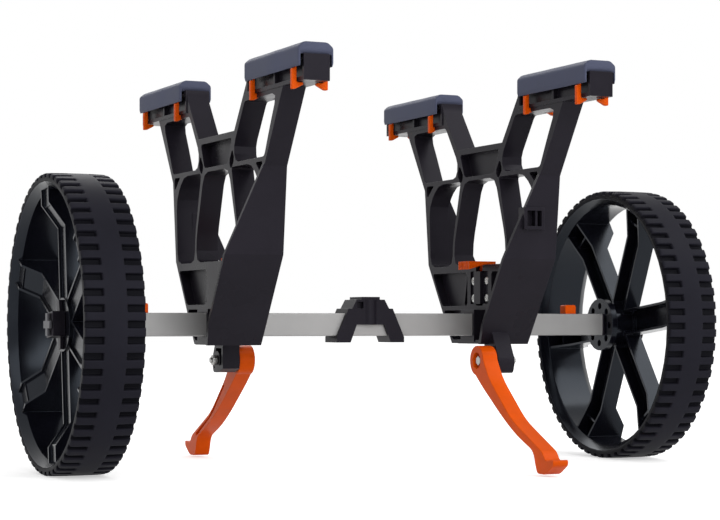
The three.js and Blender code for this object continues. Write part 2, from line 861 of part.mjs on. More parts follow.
// Hooded pocket in the flare that a strap's hook goes in, with a rib across it
function strapFrame() {
  const back = -bunk.kneeHalf + bunk.wall;
  const front = -bunk.chordHalf - strapPocket.proud + bunk.wall;
  const wall = strapPocket.wall;
  const hood = block(
    [-strapPocket.outer, front, strapPocket.bottomRise],
    [-strapPocket.inner, back, strapPocket.topRise],
  );
  const hollow = block(
    [-strapPocket.outer + wall, front - overrun, strapPocket.bottomRise + wall],
    [-strapPocket.inner - wall, back - wall, strapPocket.topRise - wall],
  );
  const rib = block(
    [-strapPocket.ribOut - strapPocket.ribThick, front + wall / 2, strapPocket.bottomRise],
    [-strapPocket.ribOut, back, strapPocket.topRise],
  );
  return { hood, hollow: cut(hollow, rib) };
}

// Rail along the top of one arm, with a channel down each side
function bunkRail(side) {
  const half = rail.width / 2;
  const near = railInnerHalf;
  const far = railOuterHalf;
  const web = half - rail.channelDepth;
  const span = (inner, outer) => (side > 0 ? [inner, outer] : [-outer, -inner]);
  const bar = (width, inner, outer, low, high) => {
    const [from, to] = span(inner, outer);
    return block([-width, from, low], [width, to, high]);
  };
  const whole = bar(half, near, far, railBottom, rail.topRise);
  const bays = [0, 1].map((bay) => {
    const room = (far - near - 3 * rail.ribThick) / 2;
    const start = near + rail.ribThick + bay * (room + rail.ribThick);
    const low = railBottom + rail.flangeThick;
    const high = rail.topRise - rail.flangeThick;
    const through = bar(half + overrun, start, start + room, low, high);
    return cut(through, bar(web, start - overrun, start + room + overrun, low - overrun, high + overrun));
  });
  return cut(whole, ...bays);
}

// Lug under the foot of the front panel that carries the kickstand's bolt
function standLug() {
  const far = -stand.lugInset;
  const near = far - stand.lugThick;
  const slope = (bunk.kneeHalf - bunk.baseHalf) / (bunk.kneeRise + bunk.baseDrop);
  const panelAt = bunk.baseHalf + slope * (bunk.baseDrop - stand.lugTopDrop);
  const inside = bunk.wall / 2;
  const body = slabX(outline([
    [-stand.lugInnerOut, -bunk.baseDrop + inside],
    [-stand.lugInnerOut, -stand.lugBottomDrop + bunk.wall],
    [-stand.pivotOut + bunk.wall, -stand.lugBottomDrop, bunk.smallRadius],
    [-stand.lugOuterOut + bunk.wall, -stand.lugBottomDrop, bunk.smallRadius],
    [-stand.lugOuterOut, -stand.pivotDrop, bunk.smallRadius],
    [-panelAt + inside, -stand.lugTopDrop],
    [-bunk.baseHalf + inside, -bunk.baseDrop + inside],
  ]), near, far);
  const mid = -stand.pivotOut;
  const depth = far - stand.lugPocket;
  const edge = 1.5 * bunk.wall;
  const lean = (stand.lugOuterOut - panelAt + inside) / (stand.pivotDrop - stand.lugTopDrop);
  const pocketDrop = bunk.baseDrop + bunk.wall;
  const pocketOut = stand.lugOuterOut - lean * (stand.pivotDrop - pocketDrop) - edge;
  const pocket = slabX(outline([
    [-stand.lugInnerOut - bunk.wall, -pocketDrop],
    [-stand.lugInnerOut - bunk.wall, -stand.lugBottomDrop + 2 * bunk.wall],
    [-stand.lugOuterOut + edge, -stand.lugBottomDrop + bunk.wall],
    [-stand.lugOuterOut + edge, -stand.pivotDrop],
    [-pocketOut, -pocketDrop],
  ]), depth, far + overrun);
  const nutSeat = rodX(stand.nutRadius + bunk.wall, depth - overrun, far, mid, -stand.pivotDrop, 16);
  const hollow = cut(pocket, nutSeat);
  const bore = rodX(stand.boltRadius + fitGap, near - overrun, far + overrun, mid, -stand.pivotDrop, 12);
  return { body: cut(body, hollow), bore };
}

// Notches under the rails that the feet of the pad clips hook into
function clipNotches() {
  const reach = clip.footReach - fitGap;
  const half = clip.width / 2 + fitGap;
  return bothSides(clipPlaces.map((place) => [padInnerHalf + place, 0])).flat().flatMap(([out]) => [
    block([reach, out - half, clipBottom - fitGap], [bunkWidth, out + half, railBottom]),
    block([-bunkWidth, out - half, clipBottom - fitGap], [-reach, out + half, railBottom]),
  ]);
}

// One bunk frame: truss, rails, flared panels, axle tunnel and kickstand lug
function bunkFrame() {
  const half = bunkWidth / 2;
  const windows = trussWindows().map((cell) => slabX(
    outline(cell, truss.cellRadius), -half - overrun, half + overrun, 2,
  ));
  const web = bunk.webThick / 2;
  const recess = (floor) => (cell) => [
    slabX(outline(cell, truss.pocketRadius), -half - overrun, -floor, 1),
    slabX(outline(cell, truss.pocketRadius), floor, half + overrun, 1),
  ];
  const { deep, mouths } = trussPockets();
  const pockets = [...deep.flatMap(recess(web)), ...mouths.flatMap(recess(web + truss.ribStand))];
  const passageHalf = tubeHalf + fitGap;
  const shell = passageHalf + bunk.tunnelWall;
  const reach = bunk.tunnelHalfLength;
  const tunnel = block([-reach, -shell, -bunk.baseDrop + bunk.wall / 2], [reach, shell, shell]);
  const passage = block(
    [-reach - overrun, -passageHalf, -passageHalf],
    [reach + overrun, passageHalf, passageHalf],
  );
  const lug = standLug();
  const strap = strapFrame();
  const body = join(
    cut(bunkBlank(), ...windows, ...pockets), tunnel, lug.body, strap.hood, bunkRail(1), bunkRail(-1),
  );
  const cuts = [passage, lug.bore, strap.hollow, ...latchHoles(), ...clipNotches()];
  return cut(join(cut(body, latchRoom()), latchStop()), ...cuts);
}

// Places that the latch pieces share with the room cut for them in the frame
const coverOuter = -bunkWidth / 2 + latch.screwHeadThick + fitGap / 2;
const coverInner = coverOuter + latch.coverThick;
const sliderOuter = coverInner + fitGap;
const sliderInner = sliderOuter + latch.sliderThick;
const tabBottom = bunk.ledgeRise + fitGap;

function latchRoom() {
  const side = latch.sliderWidth / 2 + fitGap;
  const recessHalf = latch.coverHalf + fitGap;
  return join(
    block([-bunkWidth, -side, bunk.shelfRise], [sliderInner + fitGap, side, bunk.chordRise / 2]),
    block(
      [-bunkWidth, -recessHalf, latch.coverBottomRise - fitGap],
      [coverInner + fitGap / 2, recessHalf, latch.coverTopRise + fitGap],
    ),
  );
}

// Fixed stop inside the slider's window that the spring pushes against
function latchStop() {
  const side = latch.windowWidth / 2 - fitGap;
  return block(
    [sliderOuter, -side, latch.stopRise],
    [sliderInner + overrun, side, latch.stopRise + latch.stopThick],
  );
}

const screwPlaces = [-1, 1].flatMap((side) => [latch.screwLowRise, latch.screwHighRise].map(
  (rise) => [side * latch.screwOffset, rise],
));

function latchHoles() {
  const radius = latch.screwRadius + fitGap;
  const depth = coverOuter + latch.screwLength + fitGap;
  const screws = screwPlaces.map(([out, rise]) => rodX(radius, -bunkWidth, depth, out, rise, 12));
  const pin = rodZ(
    latch.pinRadius + 1.3 * fitGap, 0, bunk.shelfRise + overrun, latch.centre, 0, 16,
  );
  return [...screws, pin];
}

function latchCover() {
  const plate = block(
    [coverOuter, -latch.coverHalf, latch.coverBottomRise],
    [coverInner, latch.coverHalf, latch.coverTopRise],
  );
  const rib = block(
    [coverOuter - latch.coverRibProud, -latch.coverRibHalf, latch.coverBottomRise],
    [coverInner, latch.coverRibHalf, latch.coverTopRise],
  );
  const holes = screwPlaces.map(([out, rise]) => rodX(
    latch.screwRadius + fitGap, coverOuter - overrun, coverInner + overrun, out, rise, 12,
  ));
  return cut(join(plate, rib), ...holes);
}

function latchScrew() {
  const seat = coverOuter - fitGap / 2;
  return join(
    rodX(latch.screwHeadRadius, seat - latch.screwHeadThick, seat, 0, 0, 12),
    rodX(latch.screwRadius, seat - overrun / 2, coverOuter + latch.screwLength, 0, 0, 12),
  );
}

// Slider with a window for the spring, and the wedge-shaped thumb tab on top of it
function latchHandle() {
  const side = latch.sliderWidth / 2;
  const top = tabBottom + latch.tabRootThick;
  const slider = block([sliderOuter, -side, latch.barRise], [sliderInner, side, top]);
  const windowHalf = latch.windowWidth / 2;
  const opening = block(
    [sliderOuter - overrun, -windowHalf, latch.barRise + latch.barThick],
    [sliderInner + overrun, windowHalf, latch.stopRise + latch.stopThick + latch.windowRoom],
  );
  const wedge = outline([
    [-latch.tabReach, top - latch.tabThick],
    [-bunkWidth / 2 - fitGap, tabBottom],
    [sliderInner, tabBottom],
    [sliderInner, top],
    [-latch.tabReach, top, latch.serrationDepth],
  ]);
  const tabHalf = latch.tabWidth / 2;
  const pitch = latch.tabWidth / (latch.serrations + 1);
  const grooves = Array.from({ length: latch.serrations }, (_, index) => block(
    [-latch.tabReach - overrun, (index + 0.75) * pitch - tabHalf, top - 2 * latch.tabThick],
    [-latch.tabReach + latch.serrationDepth, (index + 1.25) * pitch - tabHalf, top + overrun],
  ));
  const socketTop = latch.barRise + latch.barThick / 2;
  const socketRadius = latch.pinRadius + fitGap;
  const pinSocket = rodZ(socketRadius, latch.barRise - overrun, socketTop, latch.centre, 0, 16);
  return cut(join(cut(slider, opening), slabY(wedge, -tabHalf, tabHalf)), pinSocket, ...grooves);
}

function latchPin() {
  const tip = tubeHalf + fitGap;
  const top = latch.barRise + latch.barThick / 2 - fitGap;
  return rodZ(latch.pinRadius, tip, top, latch.centre, 0, 16);
}

function latchSpring() {
  const from = latch.barRise + latch.barThick + fitGap;
  const to = latch.stopRise - fitGap;
  return coil(latch.springRadius, latch.springWire, latch.springTurns, from, to);
}

// Pad: a cap with chamfered top edges that drops over the rail, notched for its clips
function cradlePad() {
  const half = pad.width / 2;
  const inner = rail.width / 2 + fitGap + clip.legThick + fitGap;
  const top = rail.topRise + pad.topThick;
  const low = rail.topRise - pad.skirtDrop;
  const roof = rail.topRise + fitGap;
  const shape = outline([
    [-half, low],
    [-half, top - pad.chamferDrop],
    [-half + pad.chamferWidth, top],
    [half - pad.chamferWidth, top],
    [half, top - pad.chamferDrop],
    [half, low],
    [inner, low],
    [inner, roof],
    [-inner, roof],
    [-inner, low],
  ]);
  const body = slabY(shape, 0, pad.length);
  const notchHalf = clip.width / 2 + fitGap;
  const notches = clipPlaces.flatMap((place) => [
    block(
      [-half - overrun, place - notchHalf, Math.min(low, clipTabTop) - overrun],
      [half + overrun, place + notchHalf, clipTabTop + fitGap],
    ),
    block(
      [-inner, place - notchHalf, roof - overrun],
      [inner, place + notchHalf, roof + clip.barThick + fitGap],
    ),
  ]);
  return cut(body, ...notches);
}

const clipPlaces = [clip.endShare, 1 - clip.endShare].map((share) => share * pad.length);
const clipBottom = railBottom - fitGap - clip.footThick;
const clipTabTop = railBottom + clip.tabRise;

// Clip over the rail: a bar, two legs with thick outer tabs, and hooks under the rail
function padClip() {
  const inner = rail.width / 2 + fitGap;
  const outer = inner + clip.tabThick;
  const barLow = rail.topRise + fitGap;
  const right = [
    [clip.footReach, clipBottom + clip.footThick],
    [clip.footReach, clipBottom + clip.footThick - clip.toeThick],
    [clip.footReach + clip.toeRun, clipBottom],
    [outer, clipBottom],
    [outer, clipTabTop],
    [inner + clip.legThick, clipTabTop],
    [inner + clip.legThick, barLow + clip.barThick],
  ];
  const left = right.map(([along, up]) => [-along, up]).reverse();
  const hollow = [
    [-inner, clipBottom + clip.footThick],
    [-inner, barLow],
    [inner, barLow],
    [inner, clipBottom + clip.footThick],
  ];
  return slabY(outline([...right, ...left, ...hollow]), -clip.width / 2, clip.width / 2);
}

// Kickstand leg; the shares follow the reach and the drop from its pivot to the floor
const legLowerShares = [[0.05, 0.22], [0.35, 0.52], [0.54, 0.68], [0.75, 0.8], [0.78, 0.94]];
const legFootShares = [[0.8, 1], [0.9, 1], [0.975, 0.935], [1, 0.91], [1, 0.86], [0.9, 0.875]];
const legUpperShares = [[0.865, 0.8], [0.8, 0.755], [0.477, 0.538], [0.344, 0.378], [0.153, 0.143]];
const legGrooveShares = [[0.2, 0.25], [0.45, 0.56], [0.76, 0.8], [0.78, 0.77], [0.5, 0.58], [0.23, 0.25]];

function legPoints(shares) {
  const reach = stand.footOut - stand.pivotOut;
  const drop = axleHeight - stand.pivotDrop - stand.footLift;
  return shares.map(([out, down]) => [-stand.pivotOut - out * reach, -stand.pivotDrop - down * drop]);
}

const legOuterX = -stand.lugInset - stand.lugThick - stand.washerThick - 2 * fitGap;
const legInnerX = legOuterX - stand.thick;

function kickstandLeg() {
  const [out, up] = [-stand.pivotOut, -stand.pivotDrop];
  const head = rodX(stand.headRadius, legInnerX, legOuterX, out, up, 28);
  const radius = stand.headRadius;
  const start = [out + radius * 0.93, up - radius * 0.37];
  const bent = (points, bend) => points.map(([a, b]) => [a, b, bend]);
  const blade = slabX(outline([
    [out, up],
    start,
    ...bent(legPoints(legLowerShares), stand.bendRadius),
    ...bent(legPoints(legFootShares), stand.footRadius),
    ...bent(legPoints(legUpperShares), stand.bendRadius),
    [out - radius * 0.6, up + radius * 0.8],
  ], stand.grooveDepth), legInnerX, legOuterX, 4);
  const groove = slabX(
    outline(legPoints(legGrooveShares), stand.grooveDepth),
    legOuterX - stand.grooveDepth, legOuterX + overrun, 2,
  );
  const counterbore = rodX(stand.boreRadius, legInnerX - overrun, legInnerX + stand.boreDepth, out, up, 20);
  const bore = rodX(stand.boltRadius + fitGap, legInnerX, legOuterX + overrun, out, up, 12);
  return cut(join(head, blade), groove, counterbore, bore);
}

function kickstandBolt() {
  const seat = legInnerX + stand.boreDepth - fitGap;
  const end = -stand.lugInset + fitGap + stand.nutThick + stand.boltEnd;
  const [out, up] = [-stand.pivotOut, -stand.pivotDrop];
  return join(
    rodX(stand.boltHeadRadius, seat - stand.boltHeadThick, seat, out, up, 6),
    rodX(stand.boltRadius, seat - overrun / 2, end, out, up, 12),
  );
}

// Washer or nut on the kickstand's bolt; the number of sides tells them apart
function boltRing(outer, from, to, sides) {
  const [out, up] = [-stand.pivotOut, -stand.pivotDrop];
  const bore = rodX(stand.boltRadius + fitGap, from - overrun, to + overrun, out, up, 12);
  return cut(rodX(outer, from, to, out, up, sides), bore);
}

// The pieces of one bunk in its own frame, centred on the axle; ends names its -Y and +Y ends
function buildBunk(parent, label, ends) {
  piece(parent, `bunk_frame_${label}`, bunkFrame(), finish.plastic);
  const clipBody = padClip();
  const padBody = cradlePad();
  const starts = [-padInnerHalf - pad.length, padInnerHalf];
  ends.forEach((end, number) => {
    const start = starts[number];
    piece(parent, `pad_${end}_${label}`, padBody, finish.padFoam, 0, start, 0);
    clipPlaces.forEach((place, index) => {
      piece(parent, `pad_clip_${end}_${label}_${index + 1}`, clipBody, finish.orange, 0, start + place, 0);
    });
  });
  piece(parent, `latch_cover_${label}`, latchCover(), finish.plastic);
  piece(parent, `latch_handle_${label}`, latchHandle(), finish.orange);
  piece(parent, `latch_pin_${label}`, latchPin(), finish.steel);
  piece(parent, `latch_spring_${label}`, latchSpring(), finish.steel, latch.centre, 0, 0);
  screwPlaces.forEach(([out, rise], index) => {
    piece(parent, `latch_screw_${label}_${index + 1}`, latchScrew(), finish.steel, 0, out, rise);
  });
  piece(parent, `kickstand_leg_${label}`, kickstandLeg(), finish.orange);
  piece(parent, `kickstand_bolt_${label}`, kickstandBolt(), finish.steel);
  const washerFrom = legOuterX + fitGap;
  const washer = boltRing(stand.washerRadius, washerFrom, washerFrom + stand.washerThick, 20);
  piece(parent, `kickstand_washer_${label}`, washer, finish.steel);
  const nutFrom = -stand.lugInset + fitGap;
  const nut = boltRing(stand.nutRadius, nutFrom, nutFrom + stand.nutThick, 6);
  piece(parent, `kickstand_nut_${label}`, nut, finish.steel);
}

// The pieces at one end of the axle, made for the right-hand side
function buildAxleEnd(parent, label) {
  piece(parent, `axle_plug_${label}`, axlePlug(), finish.plastic);
  piece(parent, `stub_shaft_${label}`, stubShaft(), finish.steel);
  piece(parent, `stub_end_cap_${label}`, stubEndCap(), finish.greyPlastic);
  piece(parent, `release_button_${label}`, releaseButton(), finish.orange);
  const spring = coil(
    button.springRadius, button.springWire, button.springTurns, -boreHalf + fitGap, tongueBottom - fitGap,
  );
  piece(parent, `button_spring_${label}`, spring, finish.steel, button.offset, 0, 0);
  const wheel = new THREE.Group();
  wheel.rotation.x = THREE.MathUtils.degToRad(spinDegrees[label]);
  parent.add(wheel);
  piece(wheel, `wheel_rim_${label}`, wheelRim(), finish.rimPlastic);
  piece(wheel, `tyre_${label}`, wheelTyre(), finish.tyreRubber);
  piece(wheel, `hub_bush_${label}`, hubBush(), finish.greyPlastic);
  piece(wheel, `hub_block_${label}`, wheelHubBlock(), finish.plastic);
}

const cart = new THREE.Group();
const axle = new THREE.Group();
axle.position.z = axleHeight;
cart.add(axle);
piece(axle, "axle_tube", axleTube(), finish.aluminium);
piece(axle, "centre_saddle", centreSaddle(), finish.plastic);

// The left-hand side is the right-hand one turned half round
const sides = [
  { label: "right", turn: 0, offset: bunkOffsetRight, ends: ["front", "rear"] },
  { label: "left", turn: Math.PI, offset: -bunkOffsetLeft, ends: ["rear", "front"] },
];
sides.forEach(({ label, turn, offset, ends }) => {
  const axleSide = new THREE.Group();
  const bunkGroup = new THREE.Group();
  axleSide.rotation.z = turn;
  bunkGroup.rotation.z = turn;
  bunkGroup.position.x = offset;
  axle.add(axleSide, bunkGroup);
  buildAxleEnd(axleSide, label);
  buildBunk(bunkGroup, label, ends);
});

export default cart;
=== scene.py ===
# %% [markdown]
# A kayak cart, dressed for a studio picture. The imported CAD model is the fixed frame: two wheels on a
# square axle, and two padded bunks that slide on it. Its solids have the right shapes in the right
# places, but hard edges and no finish. This notebook rounds and finishes every moulding, and computes the
# tyres, pads, screw heads and springs that the plain solids only hint at. All lengths are metres, and
# every piece stays where the frame says.

# %% Load the frame
import json
import math

import bmesh
import bpy
import numpy as np
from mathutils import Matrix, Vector


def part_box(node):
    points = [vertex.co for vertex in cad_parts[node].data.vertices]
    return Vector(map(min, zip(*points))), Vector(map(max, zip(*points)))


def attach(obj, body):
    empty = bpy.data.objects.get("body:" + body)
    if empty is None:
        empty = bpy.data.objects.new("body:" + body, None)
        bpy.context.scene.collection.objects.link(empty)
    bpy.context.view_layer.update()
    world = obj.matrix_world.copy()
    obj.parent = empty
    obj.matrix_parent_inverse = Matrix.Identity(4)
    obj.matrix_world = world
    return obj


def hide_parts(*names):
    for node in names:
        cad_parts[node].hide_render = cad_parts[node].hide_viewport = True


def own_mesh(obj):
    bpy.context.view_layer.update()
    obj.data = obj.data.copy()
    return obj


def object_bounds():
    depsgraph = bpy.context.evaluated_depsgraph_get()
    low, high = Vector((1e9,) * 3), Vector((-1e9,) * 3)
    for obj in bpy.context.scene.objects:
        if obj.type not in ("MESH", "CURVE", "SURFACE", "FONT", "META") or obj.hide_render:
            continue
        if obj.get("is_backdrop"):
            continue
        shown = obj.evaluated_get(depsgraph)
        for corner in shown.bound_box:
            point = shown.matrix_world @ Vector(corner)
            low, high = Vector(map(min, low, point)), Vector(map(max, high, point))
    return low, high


MM = 0.001
SIDES = ("left", "right")

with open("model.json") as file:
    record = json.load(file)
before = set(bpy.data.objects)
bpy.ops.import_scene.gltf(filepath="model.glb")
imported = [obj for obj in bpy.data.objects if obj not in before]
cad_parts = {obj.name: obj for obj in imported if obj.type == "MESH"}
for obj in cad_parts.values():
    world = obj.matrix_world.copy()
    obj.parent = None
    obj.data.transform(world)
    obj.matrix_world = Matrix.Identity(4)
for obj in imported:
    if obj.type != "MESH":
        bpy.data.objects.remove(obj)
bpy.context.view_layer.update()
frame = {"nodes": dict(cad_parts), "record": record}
nodes = frame["nodes"]

# %% [markdown]
# The photograph was taken from low down, a long way off, with the horizon at the height of the axle.
# Turning the camera down to frame the cart would make its uprights lean. So the camera stays level, like
# a view camera on its stand, and a small shift of the long lens brings the cart into the picture.

# %% Camera
PICTURE = (720, 520)  # pixels
SENSOR_WIDTH = 36.0  # mm, as Blender measures a lens
FOCAL_PIXELS = 2050.28
PRINCIPAL = (450.5, 324.6)  # the pixel that the lens's axis meets
CAMERA_PLACE = (-0.92756, -2.1156, 0.159)
CAMERA_YAW = math.radians(26.07)

lens = bpy.data.cameras.new("camera")
lens.sensor_width = SENSOR_WIDTH
lens.lens = FOCAL_PIXELS / PICTURE[0] * SENSOR_WIDTH
lens.shift_x = (PICTURE[0] / 2 - PRINCIPAL[0]) / PICTURE[0]
lens.shift_y = (PRINCIPAL[1] - PICTURE[1] / 2) / PICTURE[0]
camera = bpy.data.objects.new("camera", lens)
camera.location = CAMERA_PLACE
camera.rotation_euler = (math.pi / 2, 0.0, -CAMERA_YAW)
bpy.context.scene.collection.objects.link(camera)
bpy.context.scene.camera = camera
print("lens", round(lens.lens, 1), "mm, shift", round(lens.shift_x, 4), round(lens.shift_y, 4))

# %% [markdown]
# Every surface in this scene, the studio's as well, is a small tree of shader nodes. Trees can be drawn
# by hand in the editor, but a few helpers keep them short in a script and give all finishes the same
# build. The first ones make an empty material, do arithmetic and map one range to another.

# %% Node helpers
def new_material(name):
    """An empty node material, with its output node, ready for a shader."""
    material = bpy.data.materials.new(name)
    material.use_nodes = True
    material.node_tree.nodes.clear()
    output = material.node_tree.nodes.new("ShaderNodeOutputMaterial")
    return material, material.node_tree, output


def maths(tree, operation, first, second, clamp=False):
    """One arithmetic node; each operand is a socket or a number."""
    node = tree.nodes.new("ShaderNodeMath")
    node.operation = operation
    node.use_clamp = clamp
    for index, value in enumerate((first, second)):
        if isinstance(value, (int, float)):
            node.inputs[index].default_value = value
        else:
            tree.links.new(value, node.inputs[index])
    return node.outputs[0]


def between(tree, value, low, high, to_low, to_high):
    """Maps a value from one range to another, clamped."""
    node = tree.nodes.new("ShaderNodeMapRange")
    for name, number in (("From Min", low), ("From Max", high), ("To Min", to_low), ("To Max", to_high)):
        node.inputs[name].default_value = number
    tree.links.new(value, node.inputs["Value"])
    return node.outputs["Result"]


print("node helpers: new_material, maths, between")

# %% [markdown]
# The studio is a white sheet under a white sky. A sky bright enough to look white would wash out the
# black plastic, so it has two strengths. Rays that look at the background, straight or by way of a shiny
# surface, see strength 1. Rays that light the cart see a dimmer one, because a plain level of light lets
# each colour show as it is.

# %% Sky
WORLD_LIGHT = 0.46  # the strength that lights the cart


def looking_ray(tree):
    """1 for rays that look at the background: from the camera, a shiny surface, or through a clear one."""
    rays = tree.nodes.new("ShaderNodeLightPath")
    total = rays.outputs["Is Camera Ray"]
    for name in ("Is Glossy Ray", "Is Transmission Ray"):
        total = maths(tree, "MAXIMUM", total, rays.outputs[name])
    return total


world = bpy.data.worlds.new("studio")
bpy.context.scene.world = world
world.use_nodes = True
tree = world.node_tree
tree.nodes.clear()
sky = tree.nodes.new("ShaderNodeBackground")
sky.inputs["Color"].default_value = (1, 1, 1, 1)
tree.links.new(between(tree, looking_ray(tree), 0.0, 1.0, WORLD_LIGHT, 1.0), sky.inputs["Strength"])
output = tree.nodes.new("ShaderNodeOutputWorld")
tree.links.new(sky.outputs[0], output.inputs["Surface"])
print("sky: lights the cart at", WORLD_LIGHT)

# %% [markdown]
# The floor is the sheet itself, pale and matt, so the cart leaves its soft shadow on it. White paper in
# plain light still comes out grey in a picture. A little glow, seen only by looking rays, lifts it to
# white. The glow is weaker near the cart, which keeps the shadow, and stronger from a few metres off,
# where the sheet meets the sky.

# %% Floor
FLOOR_SIDE = 30.0
FLOOR_GREY = 0.86
NEAR, FAR = 1.0, 3.0  # distances from the cart's middle between which the glow grows
GLOW_NEAR, GLOW_FAR = 0.5, 0.8

paper, tree, output = new_material("floor_paper")
matt = tree.nodes.new("ShaderNodeBsdfDiffuse")
matt.inputs["Color"].default_value = (FLOOR_GREY, FLOOR_GREY, FLOOR_GREY, 1)
place = tree.nodes.new("ShaderNodeTexCoord")
distance = tree.nodes.new("ShaderNodeVectorMath")
distance.operation = "LENGTH"
tree.links.new(place.outputs["Object"], distance.inputs[0])
strength = between(tree, distance.outputs["Value"], NEAR, FAR, GLOW_NEAR, GLOW_FAR)
glow = tree.nodes.new("ShaderNodeEmission")
tree.links.new(maths(tree, "MULTIPLY", looking_ray(tree), strength), glow.inputs["Strength"])
both = tree.nodes.new("ShaderNodeAddShader")
tree.links.new(matt.outputs[0], both.inputs[0])
tree.links.new(glow.outputs[0], both.inputs[1])
tree.links.new(both.outputs[0], output.inputs["Surface"])

half = FLOOR_SIDE / 2
corners = [(-half, -half, 0), (half, -half, 0), (half, half, 0), (-half, half, 0)]
sheet = bpy.data.meshes.new("floor")
sheet.from_pydata(corners, [], [(0, 1, 2, 3)])
sheet.materials.append(paper)
floor = bpy.data.objects.new("floor", sheet)
bpy.context.scene.collection.objects.link(floor)
floor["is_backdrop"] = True
print("floor:", FLOOR_SIDE, "m square")

# %% [markdown]
# Five broad lamps do what soft boxes do in a studio. One big lamp would leave the black mouldings without
# form. The front and back ones give every edge a soft light, the top one draws the pads' upper faces, and
# the two side lamps are weak and only keep the flanks of the wheels from going flat.

# %% Lamps
AIM = (0.0, 0.0, 0.22)
LAMPS = {  # place, side in metres, watts
    "top_lamp": ((1.6, -0.8, 2.2), 1.4, 20.0),
    "front_lamp": ((0.0, -2.8, 1.3), 1.8, 40.0),
    "left_lamp": ((-2.3, -1.0, 1.5), 1.5, 12.0),
    "right_lamp": ((2.5, -1.6, 1.0), 1.4, 12.0),
    "back_lamp": ((0.4, 2.6, 2.0), 1.8, 24.0),
}


def soft_lamp(name, place, size, watts):
    """A square area lamp of the given side at place, turned to face the cart."""
    data = bpy.data.lights.new(name, "AREA")
    data.shape = "SQUARE"
    data.size = size
    data.energy = watts
    lamp = bpy.data.objects.new(name, data)
    lamp.location = place
    lamp.rotation_euler = (Vector(AIM) - Vector(place)).to_track_quat("-Z", "Y").to_euler()
    bpy.context.scene.collection.objects.link(lamp)


for name, (place, size, watts) in LAMPS.items():
    soft_lamp(name, place, size, watts)
bpy.context.scene.view_settings.view_transform = "Standard"
print("lamps:", len(LAMPS))

# %% [markdown]
# Moulded plastic is never one flat colour. Its tool left a fine grain, its sheen drifts where it cooled
# unevenly, and handling has rubbed its edges. A painted picture could show all that, but it needs a map
# of the surface for every piece. Noise in the object's own coordinates needs none, and it stays at the
# real scale on every piece.

# %% Noise and mixing
def noise(tree, coordinates, scale, detail, roughness, stretch=None):
    """A noise value in object coordinates; stretch scales the three axes before it is read."""
    if stretch is not None:
        mapping = tree.nodes.new("ShaderNodeMapping")
        mapping.inputs["Scale"].default_value = stretch
        tree.links.new(coordinates, mapping.inputs["Vector"])
        coordinates = mapping.outputs[0]
    node = tree.nodes.new("ShaderNodeTexNoise")
    node.inputs["Scale"].default_value = scale
    node.inputs["Detail"].default_value = detail
    node.inputs["Roughness"].default_value = roughness
    tree.links.new(coordinates, node.inputs["Vector"])
    return node.outputs["Fac"]


def mixed(tree, amount, first, second):
    """Mixes two colours by a socket; each is a colour or a socket."""
    node = tree.nodes.new("ShaderNodeMix")
    node.data_type = "RGBA"
    tree.links.new(amount, node.inputs["Factor"])
    for socket, value in ((node.inputs[6], first), (node.inputs[7], second)):
        if isinstance(value, tuple):
            socket.default_value = (*value, 1.0)
        else:
            tree.links.new(value, socket)
    return node.outputs[2]


print("noise and mixing: ready")

# %% [markdown]
# Two masks say where edges turn paler and where a tyre's grooves darken. The first finds edges without any
# map: a rounded normal, which Blender reads from the faces nearby, differs from the true one only where
# the surface turns, and its paler colour is partly wear and partly a painted glint. The second finds the
# bottoms of a tyre's grooves by their distance from the axle, where they get painted shade.

# %% Masks
BEVEL_SAMPLES = 6


def rounded_normal(tree, radius):
    """The surface's normal, as if its edges had the given radius."""
    rounded = tree.nodes.new("ShaderNodeBevel")
    rounded.samples = BEVEL_SAMPLES
    rounded.inputs["Radius"].default_value = radius
    return rounded.outputs[0]


def edge_mask(tree, radius, gain):
    """1 on edges and 0 on flats: gain times one less the dot product of the true and rounded normals."""
    geometry = tree.nodes.new("ShaderNodeNewGeometry")
    dot = tree.nodes.new("ShaderNodeVectorMath")
    dot.operation = "DOT_PRODUCT"
    tree.links.new(rounded_normal(tree, radius), dot.inputs[0])
    tree.links.new(geometry.outputs["Normal"], dot.inputs[1])
    return maths(tree, "MULTIPLY", maths(tree, "SUBTRACT", 1.0, dot.outputs["Value"]), gain, clamp=True)


def crest_mask(tree, coordinates, height, top, depth):
    """0 in the grooves of a wheel and 1 on its crests, by the distance from the axle's line over depth."""
    centred = tree.nodes.new("ShaderNodeMapping")
    centred.inputs["Location"].default_value = (0.0, 0.0, -height)
    centred.inputs["Scale"].default_value = (0.0, 1.0, 1.0)
    tree.links.new(coordinates, centred.inputs["Vector"])
    reach = tree.nodes.new("ShaderNodeVectorMath")
    reach.operation = "LENGTH"
    tree.links.new(centred.outputs[0], reach.inputs[0])
    return between(tree, reach.outputs["Value"], top - depth, top, 0.0, 1.0)


print("masks: edges with", BEVEL_SAMPLES, "samples, and the crests of a tread")

# %% [markdown]
# One recipe serves all finishes, because plastic, foam and drawn metal differ only in its numbers. A
# broad noise drifts the colour and the roughness together, as a real surface does. A fine noise, read as
# height, is the grain. The edges take a paler colour, more in some places than in others: partly rubbed
# wear, as hands leave, and partly a painted highlight that makes them glint.

# %% Recipe of a finish
SHADE = 0.8  # the darkest the drift makes a colour, as a share of it
# GROOVE_SHADE is a painted shade: the colour the tyre's grooves darken to, where less light reaches.
GROOVE_SHADE = 0.3  # the colour at the bottom of a tyre's grooves, as a share of it
DRIFT_DETAIL, DRIFT_ROUGHNESS = 4.0, 0.55
GRAIN_DETAIL, GRAIN_ROUGHNESS = 2.0, 0.5
COLOUR_BAND = (0.35, 0.65)  # the values of the broad noise between which each of these changes
# The edges' paler colour is partly wear and partly a painted glint, a highlight painted on them.
WEAR_AND_GLINT_BAND = (0.4, 0.62)
SHEEN_BAND = (0.3, 0.7)
LEAST_WEAR_AND_GLINT = 0.25
WEAR_AND_GLINT_RADIUS, WEAR_AND_GLINT_GAIN = 1.2 * MM, 2.2
EDGE_RADIUS = 0.5 * MM


